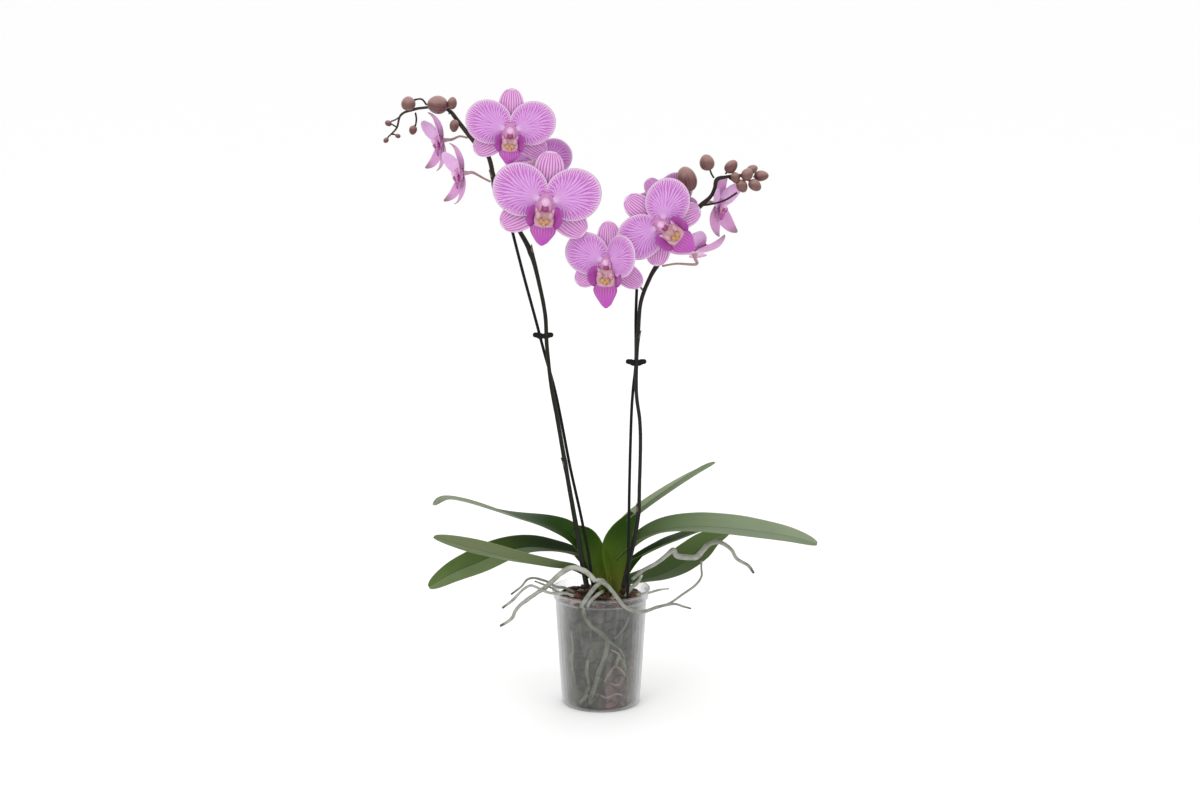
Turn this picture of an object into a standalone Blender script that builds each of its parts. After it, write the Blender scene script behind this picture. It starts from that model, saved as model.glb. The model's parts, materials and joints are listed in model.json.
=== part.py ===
"""A two-spike moth orchid (Phalaenopsis) growing in a clear nursery pot.

Units are metres and +Z is up. The origin is the centre of the pot's flat base, and the plant's open
flowers face -Y. Routes and outlines are lists of a few points in millimetres, which MM scales.
"""

import math

import bmesh
import bpy
from mathutils import Matrix, Vector

MM = 0.001
UP = Vector((0.0, 0.0, 1.0))
GAP = 0.35 * MM  # clearance between two pieces that touch

# Nursery pot: a thin tapered shell with a stepped rim band and a ring of drain holes.
POT_HEIGHT = 144 * MM
RIM_RADIUS = 60 * MM
RIM_LIP = 1.6 * MM
RIM_BAND = 11 * MM
NECK_RADIUS = 57.8 * MM
SHOULDER_RADIUS = 56.4 * MM
BASE_RADIUS = 47.6 * MM
BASE_CORNER = 4.5 * MM
WALL = 1.4 * MM
FLOOR = 1.8 * MM
POT_SIDES = 32
DRAIN_HOLES = 8
DRAIN_RADIUS = 4 * MM
DRAIN_RING = 30 * MM

# Potting mix: fills the pot and mounds a little towards the crown.
MIX_EDGE_HEIGHT = 134 * MM
MIX_CROWN_HEIGHT = 142 * MM
MIX_ROUGHNESS = 1.6 * MM
MIX_SIDES = 24

# Crown: the short upright stem that the leaves clasp.
CROWN_ROUTE = ((1, 1, 118), (1, 1, 134), (2, 1, 150), (2, 1, 168), (2, 1, 186), (2, 2, 200))
CROWN_RADII = (6, 10, 11.5, 11, 8, 3.5)

# Leaves: route of the keel, full width, then roll and half-fold in degrees at the base and at the tip.
LEAF_THICKNESS = 2.4 * MM
LEAVES = {
    "leaf_left_upper": (
        ((-14, 3, 186), (-34, 6, 207), (-62, 10, 218), (-98, 15, 227), (-125, 19, 235),
         (-164, 24, 246), (-190, 28, 249), (-204, 30, 240)),
        38, (26, -36), (50, 10)),
    "leaf_left_front": (
        ((-15, -7, 158), (-34, -12, 170), (-62, -25, 178), (-97, -45, 191), (-132, -65, 206),
         (-161, -82, 219), (-196, -103, 235)),
        35, (-20, -44), (50, 9)),
    "leaf_left_lower": (
        ((-16, 6, 174), (-34, 8, 184), (-60, 10, 189), (-88, 12, 191), (-117, 10, 186),
         (-150, 4, 174), (-180, 0, 162), (-209, -5, 146)),
        50, (-4, 40), (44, 9)),
    "leaf_right_upper": (
        ((13, 5, 190), (26, 10, 214), (47, 18, 233), (84, 32, 257), (117, 45, 276), (140, 52, 288)),
        42, (6, 24), (54, 18)),
    "leaf_right_long": (
        ((18, -2, 172), (36, -4, 193), (56, -6, 209), (82, -8, 219), (116, -12, 223),
         (152, -15, 222), (185, -18, 219), (227, -21, 213), (260, -24, 205)),
        56, (-8, -16), (50, 12)),
    "leaf_right_middle": (
        ((20, 8, 158), (45, 15, 177), (75, 26, 190), (97, 38, 196), (119, 48, 202), (141, 58, 206)),
        26, (0, 4), (48, 18)),
    "leaf_right_lower": (
        ((18, 8, 144), (40, 18, 146), (66, 40, 146), (92, 62, 152), (116, 80, 165), (136, 92, 179),
         (161, 100, 190)),
        46, (-12, -22), (40, 12)),
}

# Flower spikes: route of the stem and its radius along it, then the stake and the clip that hold it.
LEFT_SPIKE = (
    (-17, -25, 152), (-23, -26, 185), (-28, -28, 218), (-34, -30, 253), (-42, -32, 301),
    (-52, -34, 362), (-59, -36, 402), (-64, -35, 450), (-66, -33, 488), (-75, -30, 533),
    (-83, -28, 561), (-95, -26, 584), (-110, -24, 608), (-124, -20, 633), (-127, -17, 652),
    (-133, -12, 673), (-148, -6, 687), (-168, -2, 712), (-178, 0, 724), (-192, 2, 728),
    (-209, 3, 727), (-220, 3, 725), (-235, 3, 719), (-240, 2, 704), (-247, 2, 696))
LEFT_SPIKE_RADII = (2.8, 2.7, 2.6, 2.6, 2.5, 2.5, 2.4, 2.4, 2.4, 2.5, 3.1, 2.7, 2.6, 3.1, 2.7, 2.7,
                    2.7, 2.6, 2.2, 1.7, 1.6, 1.7, 1.3, 1.2, 1.0)
RIGHT_SPIKE = (
    (27, -24, 152), (33, -25, 180), (40, -27, 212), (45, -28, 245), (46, -31, 281), (47, -34, 329),
    (46, -36, 360), (42, -38, 392), (42, -38, 430), (44, -39, 468), (47, -36, 503), (58, -24, 530),
    (67, -16, 544), (79, -10, 562), (95, -4, 583), (107, 0, 601), (118, 0, 612), (129, 0, 622),
    (134, 0, 632), (137, 0, 643), (148, 0, 646), (163, 0, 648), (176, 1, 646))
RIGHT_SPIKE_RADII = (2.5, 2.4, 2.3, 2.2, 2.2, 2.2, 2.2, 2.2, 2.2, 2.3, 2.4, 2.6, 3.0, 2.4, 2.4, 2.4,
                     2.9, 2.3, 2.2, 2.6, 1.9, 1.6, 1.1)
SPIKE_SIDES = 8
STAKE_RADIUS = 1.8 * MM
LEFT_STAKE = (
    (-2, -24, 40), (-8, -24, 130), (-14, -25, 185), (-24, -25, 240), (-37, -25, 301),
    (-48, -26, 361), (-56, -28, 400), (-67, -29, 440), (-77, -31.5, 480), (-92, -35, 538),
    (-107, -38.5, 600))
RIGHT_STAKE = (
    (31, -27, 40), (32, -30, 130), (33, -33, 200), (34, -32, 282), (36, -31, 362), (38, -31, 396),
    (41, -32, 429), (41, -34, 481), (42, -35, 517))
CLIP_WALL = 1.3 * MM
CLIP_HEIGHT = 6 * MM
CLIP_LUG = 3.6 * MM
CLIPS = {"left_clip": ("left", 461 * MM), "right_clip": ("right", 429.5 * MM)}

# Aerial roots: route and radii of each, and of a branch where it has one.
ROOTS = {
    "root_left_arch": (
        (((-7, -33, 162), (-19, -34, 174), (-35, -36, 179), (-49, -35, 171), (-59, -33, 161),
          (-68, -30, 152), (-78, -28, 145), (-89, -25, 136), (-97, -22, 129), (-104, -20, 120),
          (-107, -18, 112), (-113, -16, 106), (-122, -14, 100)),
         (3.0, 3.2, 3.3, 3.2, 3.0, 2.9, 2.6, 2.4, 2.2, 2.1, 2.0, 1.9, 1.5)),),
    "root_left_high": (
        (((-33, -14, 142), (-43, -16, 148), (-55, -16, 150), (-64, -14, 155), (-74, -12, 158),
          (-82, -10, 159), (-90, -8, 156), (-97, -6, 147), (-109, -4, 137)),
         (1.5, 1.6, 1.6, 1.5, 1.5, 1.4, 1.4, 1.3, 1.1)),),
    "root_left_low": (
        (((-34, -33, 143), (-42, -39, 148), (-52, -42, 148.5), (-64, -39, 149), (-78, -33, 154),
          (-85, -30, 155), (-92, -28, 151), (-99, -26, 144), (-107, -24, 135), (-119, -22, 125)),
         (1.8, 1.8, 1.7, 1.7, 1.6, 1.6, 1.6, 1.6, 1.7, 1.3)),),
    "root_right_front": (
        (((0, -33, 160), (7, -39, 158), (14, -49, 153), (21, -60, 146), (29, -61, 137),
          (41, -53, 129), (53, -41, 126), (66, -28, 127), (78, -21, 128), (90, -16, 128),
          (100, -13, 124), (109, -11, 121)),
         (2.6, 2.6, 2.5, 2.4, 2.3, 2.3, 2.2, 2.0, 1.8, 1.4, 1.3, 1.0)),
        (((76, -22, 127.5), (85, -16, 130), (98, -11, 138), (114, -5, 148), (122, -1, 158),
          (122, 2, 168)),
         (1.5, 1.4, 1.4, 1.4, 1.3, 1.1))),
    "root_right_upper": (
        (((38, -12, 158), (52, -5, 168), (66, 0, 174), (80, 4, 184), (88, 6, 190), (92, 5, 183),
          (106, 5, 181), (117, 5, 182), (124, 5, 190), (132, 5, 198), (145, 3, 200), (158, 0, 192),
          (165, -3, 181), (178, -6, 174), (185, -8, 165)),
         (2.0, 2.1, 2.1, 2.2, 2.4, 2.6, 2.6, 2.6, 2.5, 2.3, 2.1, 1.9, 1.8, 1.8, 1.4)),),
}
ROOT_SIDES = 7

# Buds: centre, long and short radii, the way the bud's tip points, and the route of its stalk from
# the spike.
BUD_STALK_RADIUS = 1.1 * MM
BUDS = {
    "left_bud_large": (
        (-191, -13, 732), 12.2, 11.0, (-0.9, -0.2, 0.1),
        ((-178, -4.5, 721), (-178, -10, 724))),
    "left_bud_round": (
        (-226, -1, 732), 8.6, 8.4, (-0.9, 0.0, -0.5),
        ((-205, 3, 730.5), (-210, 2, 737), (-217, 1, 737))),
    "left_bud_small": (
        (-221, 1, 701), 5.6, 4.8, (-0.3, 0.0, -1.0),
        ((-218, 2.5, 721), (-217, 2, 714), (-218, 1, 707))),
    "left_bud_stem": (
        (-172, -9, 707), 7.4, 5.6, (-0.1, -0.3, -1.0),
        ((-170, -5, 717), (-171, -7, 714))),
    "right_bud_large": (
        (101, 0, 643), 15.5, 12.4, (-0.25, 0.0, 1.0),
        ((111, 0, 609.5), (106, 0, 616), (104, 0, 629))),
    "right_bud_high": (
        (125, 0, 663), 9.8, 9.0, (-0.3, 0.0, 1.0),
        ((133, 0, 645), (130, 0, 650), (128, 0, 656))),
    "right_bud_upper": (
        (153, -6, 659), 9.0, 7.0, (0.8, 0.0, 0.9),
        ((147, -2, 650), (149, -4, 653))),
    "right_bud_lower": (
        (166, -8, 636), 8.0, 6.6, (0.5, -0.2, -1.0),
        ((162, -2, 645), (163, -4, 642))),
    "right_bud_tip": (
        (189, 0, 647), 8.8, 6.6, (1.0, 0.0, 0.05),
        ((180, 1, 646), (184, 0, 646))),
}
LEFT_TIP_BUDS = (((-250, 2, 709), 4.2), ((-239, 2, 694), 3.2), ((-253, 2, 689), 3.6))

# Flower: sizes of a middling flower, in its own frame: +Z faces out, +Y is up its dorsal sepal.
TEPAL_THICKNESS = 1.5 * MM
SEPAL_LENGTH = 50 * MM
SEPAL_WIDTH = 29 * MM
SEPAL_DEPTH = -3.0 * MM
PETAL_REACH = 55 * MM
PETAL_FAN = 84  # half-angle of the fan in degrees
PETAL_CLAW = 2.5 * MM
PETAL_DEPTH = 0.6 * MM
TEPAL_ARCH = 4 * MM
COLUMN_RADIUS = 3.4 * MM
COLUMN_ROUTE = ((0, 2, 1.8), (0, 2, 5), (0, 0, 9))
OVARY_RADIUS = 2.3 * MM
PEDICEL_RADIUS = 1.3 * MM
LIP_DROP = -7 * MM
LIP_LENGTH = 39 * MM
LIP_THICKNESS = 2.2 * MM
# Half-width, forward curl at the edge and height above the petals, at even steps down the lip.
LIP_HALF_WIDTHS = (5, 13, 18, 15, 12, 15.5, 14, 8, 1.5)
LIP_CURLS = (0, 5, 9, 7, 2, 0, -1, -1, 0)
LIP_LIFTS = (6, 7, 8, 9, 10, 11.5, 13, 14, 14)

# How far its tepals bend forward (in radians at a sepal's tip), and how its lateral sepals are set
# (degrees from the dorsal sepal): spread wide on a flower that is fully open, and hanging on a young
# one. Then the size of its lip and of its petals, which are still small on a young flower, and how
# many degrees above level the petals rise.
FORMS = {
    "open": (0.0, 124, 1.0, 1.0, 22),
    "short_lipped": (0.0, 124, 0.9, 1.0, 22),
    "young": (0.35, 158, 0.66, 0.72, 54),
    "cupped": (1.25, 118, 0.55, 0.60, 30),
}

# Each flower: form, centre, the way it faces, roll in degrees (clockwise as it faces you), scale, and
# the route of its stalk from the spike towards its back.
FLOWERS = {
    "left_flower_1": (
        "short_lipped", (-105, -46, 705), (0.0, -1.0, 0.02), 2, 0.95,
        ((-144, -12, 686), (-128, -20, 694))),
    "left_flower_2": (
        "open", (-64, -62, 624), (0.0, -1.0, 0.02), 5, 1.15,
        ((-103, -30, 603), (-86, -34, 612))),
    "left_flower_3": (
        "open", (-76, 24, 660), (0.3, 1.0, 0.1), 0, 0.80,
        ((-121, -9, 644), (-106, 0, 650))),
    "left_flower_4": (
        "young", (-190, 9, 687), (-0.72, -0.60, -0.36), 4, 0.76,
        ((-157, -8, 693), (-166, -2, 694))),
    "left_flower_5": (
        "young", (-164, -37, 656), (-0.76, -0.60, -0.30), 0, 0.78,
        ((-130, -21, 643), (-139, -24, 648))),
    "right_flower_1": (
        "open", (8, -56, 553), (-0.25, -1.0, 0.0), 0, 0.93,
        ((49, -29, 516), (32, -32, 534))),
    "right_flower_2": (
        "open", (69, -52, 597), (0.10, -1.0, 0.0), -52, 0.98,
        ((75, -16, 564), (71, -26, 586))),
    "right_flower_3": (
        "young", (141, 21, 610), (0.70, -0.62, -0.34), -8, 0.80,
        ((119, 6, 610), (122, 14, 611))),
    "right_flower_4": (
        "cupped", (112, 12, 556), (0.90, -0.08, 0.40), 0, 0.9,
        ((73, -15, 542), (86, -2, 545))),
    "right_flower_5": (
        "open", (76, 22, 610), (-0.1, 1.0, 0.1), 34, 0.76,
        ((92, 3, 588), (84, 8, 598))),
}

COLOURS = {
    "pot": ((0.55, 0.56, 0.54), 0.25),
    "mix": ((0.10, 0.06, 0.04), 0.9),
    "crown": ((0.12, 0.22, 0.04), 0.5),
    "leaf": ((0.05, 0.13, 0.03), 0.35),
    "spike": ((0.09, 0.09, 0.06), 0.5),
    "stake": ((0.01, 0.01, 0.01), 0.4),
    "root": ((0.34, 0.35, 0.31), 0.8),
    "bud": ((0.26, 0.12, 0.13), 0.5),
    "sepal": ((0.57, 0.35, 0.54), 0.5),
    "petal": ((0.60, 0.32, 0.62), 0.5),
    "lip": ((0.50, 0.07, 0.46), 0.5),
}


def clear_scene():
    for thing in list(bpy.data.objects):
        bpy.data.objects.remove(thing, do_unlink=True)


def material(kind):
    """The Principled material of one kind of piece, made the first time it is asked for."""
    if kind in bpy.data.materials:
        return bpy.data.materials[kind]
    colour, roughness = COLOURS[kind]
    made = bpy.data.materials.new(kind)
    made.use_nodes = True
    shader = made.node_tree.nodes["Principled BSDF"]
    shader.inputs["Base Color"].default_value = (*colour, 1.0)
    shader.inputs["Roughness"].default_value = roughness
    shader.inputs["Metallic"].default_value = 0.0
    return made


def add_object(name, shape, kind):
    """A named object from a bmesh, with its normals facing out, shaded smooth."""
    bmesh.ops.recalc_face_normals(shape, faces=shape.faces)
    if shape.calc_volume(signed=True) < 0:
        bmesh.ops.reverse_faces(shape, faces=shape.faces)
    mesh = bpy.data.meshes.new(name)
    shape.to_mesh(mesh)
    shape.free()
    mesh.shade_smooth()
    mesh.set_sharp_from_angle(angle=math.radians(50))
    mesh.materials.append(material(kind))
    made = bpy.data.objects.new(name, mesh)
    bpy.context.scene.collection.objects.link(made)
    return made


def combine(target, others, operation):
    """Joins or cuts target with the other solids for good, and removes them."""
    for other in others:
        step = target.modifiers.new(operation.lower(), "BOOLEAN")
        step.operation = operation
        step.solver = "MANIFOLD"
        step.object = other
    bpy.context.view_layer.update()
    mesh = bpy.data.meshes.new_from_object(target.evaluated_get(bpy.context.evaluated_depsgraph_get()))
    target.modifiers.clear()
    target.data = mesh
    for other in others:
        bpy.data.objects.remove(other, do_unlink=True)
    return target


def metres(points):
    return [Vector(point) * MM for point in points]


def blend_along(values, share):
    """Catmull-Rom value at share (0 to 1) of the way along a list of numbers or vectors."""
    place = share * (len(values) - 1)
    start = min(int(place), len(values) - 2)
    part = place - start
    before = values[max(start - 1, 0)]
    here, there = values[start], values[start + 1]
    after = values[min(start + 2, len(values) - 1)]
    bend = 2 * before - 5 * here + 4 * there - after
    twist = 3 * here - before - 3 * there + after
    return here + 0.5 * part * ((there - before) + part * (bend + part * twist))


def tube(name, route, radii, kind, sides, rings_per_span=1, extra=0.0):
    """A round bar along a smooth route, with low domed ends. extra is added to its radius."""
    rings = rings_per_span * (len(route) - 1)
    points = [blend_along(route, i / rings) for i in range(rings + 1)]
    widths = [blend_along(radii, i / rings) + extra for i in range(rings + 1)]
    shape = bmesh.new()
    loops = []
    side = (points[1] - points[0]).orthogonal().normalized()
    for i, point in enumerate(points):
        along = (points[min(i + 1, rings)] - points[max(i - 1, 0)]).normalized()
        side = (side - along * side.dot(along)).normalized()
        across = along.cross(side)
        loop = []
        for k in range(sides):
            turn = 2 * math.pi * k / sides
            radial = side * math.cos(turn) + across * math.sin(turn)
            loop.append(shape.verts.new(point + widths[i] * radial))
        loops.append(loop)
    for first, second in zip(loops, loops[1:]):
        for k in range(sides):
            m = (k + 1) % sides
            shape.faces.new((first[k], first[m], second[m], second[k]))
    for loop, end, nearest, width in ((loops[0], 0, 1, widths[0]), (loops[-1], -1, -2, widths[-1])):
        outwards = (points[end] - points[nearest]).normalized()
        pole = shape.verts.new(points[end] + outwards * width * 0.5)
        for k in range(sides):
            shape.faces.new((loop[k], loop[(k + 1) % sides], pole))
    return add_object(name, shape, kind)


def lathe(name, profile, kind, sides, surface=None):
    """Turns a profile of (radius, height) points, both of whose ends lie on the Z axis."""
    shape = bmesh.new()
    loops = []
    for radius, height in profile:
        if radius == 0.0:
            loops.append([shape.verts.new((0.0, 0.0, height))] * sides)
            continue
        loop = []
        for k in range(sides):
            turn = 2 * math.pi * k / sides
            place = Vector((radius * math.cos(turn), radius * math.sin(turn), height))
            loop.append(shape.verts.new(surface(place) if surface else place))
        loops.append(loop)
    for first, second in zip(loops, loops[1:]):
        for k in range(sides):
            m = (k + 1) % sides
            corners = dict.fromkeys((first[k], first[m], second[m], second[k]))
            shape.faces.new(tuple(corners))
    return add_object(name, shape, kind)


def ellipsoid(name, centre, direction, long_radius, short_radius, kind, sides=8, rings=5):
    """A bud-shaped solid whose long axis runs along direction."""
    shape = bmesh.new()
    bmesh.ops.create_uvsphere(shape, u_segments=sides, v_segments=rings, radius=1.0)
    size = Matrix.Diagonal((short_radius, short_radius, long_radius, 1.0))
    turn = Vector(direction).to_track_quat("Z", "Y").to_matrix().to_4x4()
    bmesh.ops.transform(shape, matrix=Matrix.Translation(centre) @ turn @ size, verts=shape.verts)
    return add_object(name, shape, kind)


def blade(name, surface, thickness, kind, across, along, reach=1.0):
    """A thin closed solid round surface(u, v), u from -reach to reach and v from 0 to 1.

    It is thickest along the middle and thins to a sharp edge all round.
    """
    step = 0.01
    shape = bmesh.new()
    upper, lower = [], []
    for i in range(across + 1):
        u = reach * (2 * i / across - 1)
        top_row, low_row = [], []
        for j in range(along + 1):
            v = j / along
            middle = surface(u, v)
            if i in (0, across) or j in (0, along):
                edge = shape.verts.new(middle)
                top_row.append(edge)
                low_row.append(edge)
                continue
            over_u = surface(u + step, v) - surface(u - step, v)
            over_v = surface(u, v + step) - surface(u, v - step)
            half = 0.5 * thickness * math.sqrt(1 - (u / reach) ** 2) * over_u.cross(over_v).normalized()
            top_row.append(shape.verts.new(middle + half))
            low_row.append(shape.verts.new(middle - half))
        upper.append(top_row)
        lower.append(low_row)
    for i in range(across):
        for j in range(along):
            for rows in (upper, lower):
                shape.faces.new((rows[i][j], rows[i + 1][j], rows[i + 1][j + 1], rows[i][j + 1]))
    return add_object(name, shape, kind)


def pot():
    """The shell: one turned profile, up the outside and down the inside, then the drain holes."""
    band_foot = POT_HEIGHT - RIM_BAND
    outside = [
        (0.0, 0.0),
        (BASE_RADIUS - BASE_CORNER, 0.0),
        (BASE_RADIUS - 0.3 * BASE_CORNER, 0.3 * BASE_CORNER),
        (BASE_RADIUS, BASE_CORNER),
        (SHOULDER_RADIUS, band_foot - WALL),
        (NECK_RADIUS, band_foot),
        (NECK_RADIUS, POT_HEIGHT - RIM_LIP),
        (RIM_RADIUS, POT_HEIGHT - RIM_LIP),
        (RIM_RADIUS, POT_HEIGHT),
    ]
    inside = [
        (NECK_RADIUS - WALL, POT_HEIGHT),
        (NECK_RADIUS - WALL, band_foot),
        (SHOULDER_RADIUS - WALL, band_foot - WALL),
        (BASE_RADIUS - WALL, BASE_CORNER),
        (BASE_RADIUS - WALL - 0.5 * BASE_CORNER, FLOOR),
        (0.0, FLOOR),
    ]
    shell = lathe("pot", outside + inside, "pot", POT_SIDES)
    holes = []
    for k in range(DRAIN_HOLES):
        turn = 2 * math.pi * (k + 0.15) / DRAIN_HOLES
        shape = bmesh.new()
        bmesh.ops.create_cone(
            shape, cap_ends=True, segments=8, radius1=DRAIN_RADIUS, radius2=DRAIN_RADIUS,
            depth=4 * FLOOR)
        centre = Vector((DRAIN_RING * math.cos(turn), DRAIN_RING * math.sin(turn), 0.5 * FLOOR))
        place = Matrix.Translation(centre)
        bmesh.ops.transform(shape, matrix=place, verts=shape.verts)
        holes.append(add_object("drain", shape, "pot"))
    return combine(shell, holes, "DIFFERENCE")


def mix_surface(place):
    """Lumps the top of the mix like loose bark, and leaves its sides as the pot's wall holds them."""
    if place.z < MIX_EDGE_HEIGHT - MM:
        return place
    lump = math.sin(0.31 * place.x / MM + 1.0) * math.cos(0.27 * place.y / MM + 0.4)
    return place + UP * MIX_ROUGHNESS * lump


def potting_mix(buried):
    """The mix, with a bore for each solid in buried."""
    inner = SHOULDER_RADIUS - WALL - GAP
    foot = BASE_RADIUS - WALL - GAP
    slope = (inner - foot) / (POT_HEIGHT - RIM_BAND - WALL - BASE_CORNER)
    edge = inner - slope * (POT_HEIGHT - RIM_BAND - WALL - MIX_EDGE_HEIGHT + 5 * MM)
    rise = MIX_CROWN_HEIGHT - MIX_EDGE_HEIGHT
    profile = [
        (0.0, FLOOR + GAP),
        (foot - 0.5 * BASE_CORNER - GAP, FLOOR + GAP),
        (foot - GAP, BASE_CORNER + GAP),
        (edge, MIX_EDGE_HEIGHT - 5 * MM),
        (edge - 2 * MM, MIX_EDGE_HEIGHT),
        (0.72 * edge, MIX_EDGE_HEIGHT + 0.45 * rise),
        (0.48 * edge, MIX_EDGE_HEIGHT + 0.75 * rise),
        (0.24 * edge, MIX_EDGE_HEIGHT + 0.95 * rise),
        (0.0, MIX_CROWN_HEIGHT),
    ]
    body = lathe("potting_mix", profile, "mix", MIX_SIDES, mix_surface)
    return combine(body, buried, "DIFFERENCE")


def crown(name="crown", extra=0.0):
    return tube(name, metres(CROWN_ROUTE), [r * MM for r in CROWN_RADII], "crown", 12, extra=extra)


def leaf_surface(route, width, rolls, folds):
    """The middle surface of a leaf: v runs along its keel and u across it, from edge to edge."""

    def place(u, v):
        share = min(max(v, 0.0), 1.0)
        centre = blend_along(route, share)
        ahead = blend_along(route, min(share + 0.02, 1.0))
        behind = blend_along(route, max(share - 0.02, 0.0))
        along = (ahead - behind).normalized()
        level = along.cross(UP).normalized()
        top = level.cross(along)
        roll = math.radians(rolls[0] + (rolls[1] - rolls[0]) * share)
        side = level * math.cos(roll) + top * math.sin(roll)
        normal = top * math.cos(roll) - level * math.sin(roll)
        fold = math.radians(folds[1] + (folds[0] - folds[1]) * (1 - share) ** 3)
        swell = 0.42 + 0.58 * math.sin(0.5 * math.pi * min(share / 0.6, 1.0))
        narrow = max(1 - (max(share - 0.6, 0.0) / 0.41) ** 2, 0.0) ** 0.7
        half = 0.5 * width * swell * narrow
        return centre + half * (side * u * math.cos(fold) + normal * abs(u) * math.sin(fold))

    return place


def leaf(name, route, width, rolls, folds):
    surface = leaf_surface(metres(route), width * MM, rolls, folds)
    return blade(name, surface, LEAF_THICKNESS, "leaf", across=4, along=12)


def spike(name, route, radii, tip_buds=()):
    """A flower stem, with the smallest buds at its tip grown on to it."""
    stem = tube(name, metres(route), [r * MM for r in radii], "spike", SPIKE_SIDES)
    beads = []
    for centre, radius in tip_buds:
        place = Vector(centre) * MM
        joint = min(metres(route), key=lambda point: (point - place).length)
        stalk = [joint, place]
        beads.append(tube("stalk", stalk, [0.9 * MM, 0.9 * MM], "spike", 6))
        size = radius * MM
        beads.append(ellipsoid("bead", place, place - joint, size, 0.85 * size, "bud", 6, 4))
    return combine(stem, beads, "UNION") if beads else stem


def stake(name, route, extra=0.0):
    return tube(name, metres(route), [STAKE_RADIUS] * len(route), "stake", 6, extra=extra)


def height_point(route, height):
    """The point where a rising route passes a height."""
    points = metres(route)
    for low, high in zip(points, points[1:]):
        if low.z <= height <= high.z:
            return low.lerp(high, (height - low.z) / (high.z - low.z))
    return points[-1]


def clip(name, stem_route, stem_radius, stake_route, height):
    """A band round stem and stake with a gripping lug on each side, bored to clear them both."""
    stem = height_point(stem_route, height)
    rod = height_point(stake_route, height)
    middle = 0.5 * (stem + rod)
    apart = rod - stem
    reach = stem_radius + CLIP_WALL + GAP
    shape = bmesh.new()
    bmesh.ops.create_cone(
        shape, cap_ends=True, segments=16, radius1=reach, radius2=reach, depth=CLIP_HEIGHT)
    stretch = Matrix.Diagonal((1.0, 1.0 + 0.5 * apart.length / reach, 1.0, 1.0))
    turn = Matrix.Rotation(math.atan2(apart.y, apart.x) - 0.5 * math.pi, 4, "Z")
    bmesh.ops.transform(shape, matrix=Matrix.Translation(middle) @ turn @ stretch, verts=shape.verts)
    band = add_object(name, shape, "stake")
    lugs = []
    for side in (-1, 1):
        place = middle + Vector((side * (reach + 0.35 * CLIP_LUG), 0.0, 0.0))
        lugs.append(ellipsoid("lug", place, (1, 0, 0.2), CLIP_LUG, 0.6 * CLIP_LUG, "stake", 8, 4))
    combine(band, lugs, "UNION")
    bores = []
    for route, radius in ((stem_route, stem_radius), (stake_route, STAKE_RADIUS)):
        ends = [height_point(route, height + lift * CLIP_HEIGHT) for lift in (-2, 2)]
        bores.append(tube("bore", ends, [radius + 2 * GAP] * 2, "stake", 10))
    return combine(band, bores, "DIFFERENCE")


def root(name, runs, extra=0.0):
    """An aerial root, with its branches grown on to it."""
    tubes = []
    for route, radii in runs:
        widths = [r * MM for r in radii]
        tubes.append(tube(name, metres(route), widths, "root", ROOT_SIDES, extra=extra))
    tubes[0].name = name
    return combine(tubes[0], tubes[1:], "UNION") if tubes[1:] else tubes[0]


def bud(name, centre, long_radius, short_radius, direction, stalk):
    """A bud on its own stalk, which stops just short of the spike."""
    place = Vector(centre) * MM
    body = ellipsoid(name, place, direction, long_radius * MM, short_radius * MM, "bud")
    foot = place - Vector(direction).normalized() * 0.7 * long_radius * MM
    route = metres(stalk) + [foot]
    return combine(body, [tube("stalk", route, [BUD_STALK_RADIUS] * len(route), "spike", 6)], "UNION")


def sepal_surface(bearing, length, width, bend):
    """A blunt oval sepal that leans back as it leaves the flower's middle."""
    turn = Matrix.Rotation(-math.radians(bearing), 3, "Z")

    def place(u, v):
        share = min(max(v, 0.0), 1.0)
        if share < 0.58:
            spread = 0.34 + 0.66 * math.sin(0.5 * math.pi * share / 0.58)
        else:
            spread = math.sqrt(max(1 - ((share - 0.58) / 0.425) ** 2, 0.0))
        flat = turn @ Vector((0.5 * width * spread * u, length * share, 0.0))
        return bent(flat + Vector((0.0, 0.0, SEPAL_DEPTH - TEPAL_ARCH * share ** 2)), bend)

    return place


def petal_surface(side, reach, lift, bend):
    """A broad round petal that fans out from a narrow claw."""

    def place(u, v):
        share = min(max(v, 0.0), 1.0)
        angle = math.radians(PETAL_FAN) * u
        run = reach * math.cos(angle) ** 0.9 * share
        bearing = math.radians(lift) + angle * (0.78 + 0.22 * share)
        flat = Vector((side * (PETAL_CLAW + run * math.cos(bearing)), run * math.sin(bearing), 0.0))
        return bent(flat + Vector((0.0, 0.0, PETAL_DEPTH + TEPAL_ARCH * share * (1.2 - share))), bend)

    return place


def bent(point, bend):
    """Rolls a flat tepal forward round the flower's middle, keeping its length."""
    away = math.hypot(point.x, point.y)
    if bend == 0.0 or away == 0.0:
        return point
    curve = bend / SEPAL_LENGTH
    angle = curve * away
    radial = math.sin(angle) * (1 / curve - point.z)
    forward = (1 - math.cos(angle)) / curve + point.z * math.cos(angle)
    return Vector((point.x * radial / away, point.y * radial / away, forward))


def lip_surface(u, v):
    """The lip: from its claw it widens to two lobes that curl forward, then to the mid-lobe's point."""
    share = min(max(v, 0.0), 1.0)
    half = blend_along(LIP_HALF_WIDTHS, share) * MM * u
    curl = blend_along(LIP_CURLS, share) * MM * u * u
    lift = blend_along(LIP_LIFTS, share) * MM
    return Vector((half, LIP_DROP - LIP_LENGTH * share, lift + curl))


def flower_frame(centre, facing, roll, scale):
    """Takes the flower's own frame to the plant's: its +Z faces out and its +Y is the dorsal sepal."""
    out = Vector(facing).normalized()
    across = UP.cross(out).normalized()
    upright = out.cross(across)
    turn = Matrix((across, upright, out)).transposed().to_4x4()
    spin = Matrix.Rotation(-math.radians(roll), 4, "Z")
    return Matrix.Translation(Vector(centre) * MM) @ turn @ spin @ Matrix.Scale(scale, 4)


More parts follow.
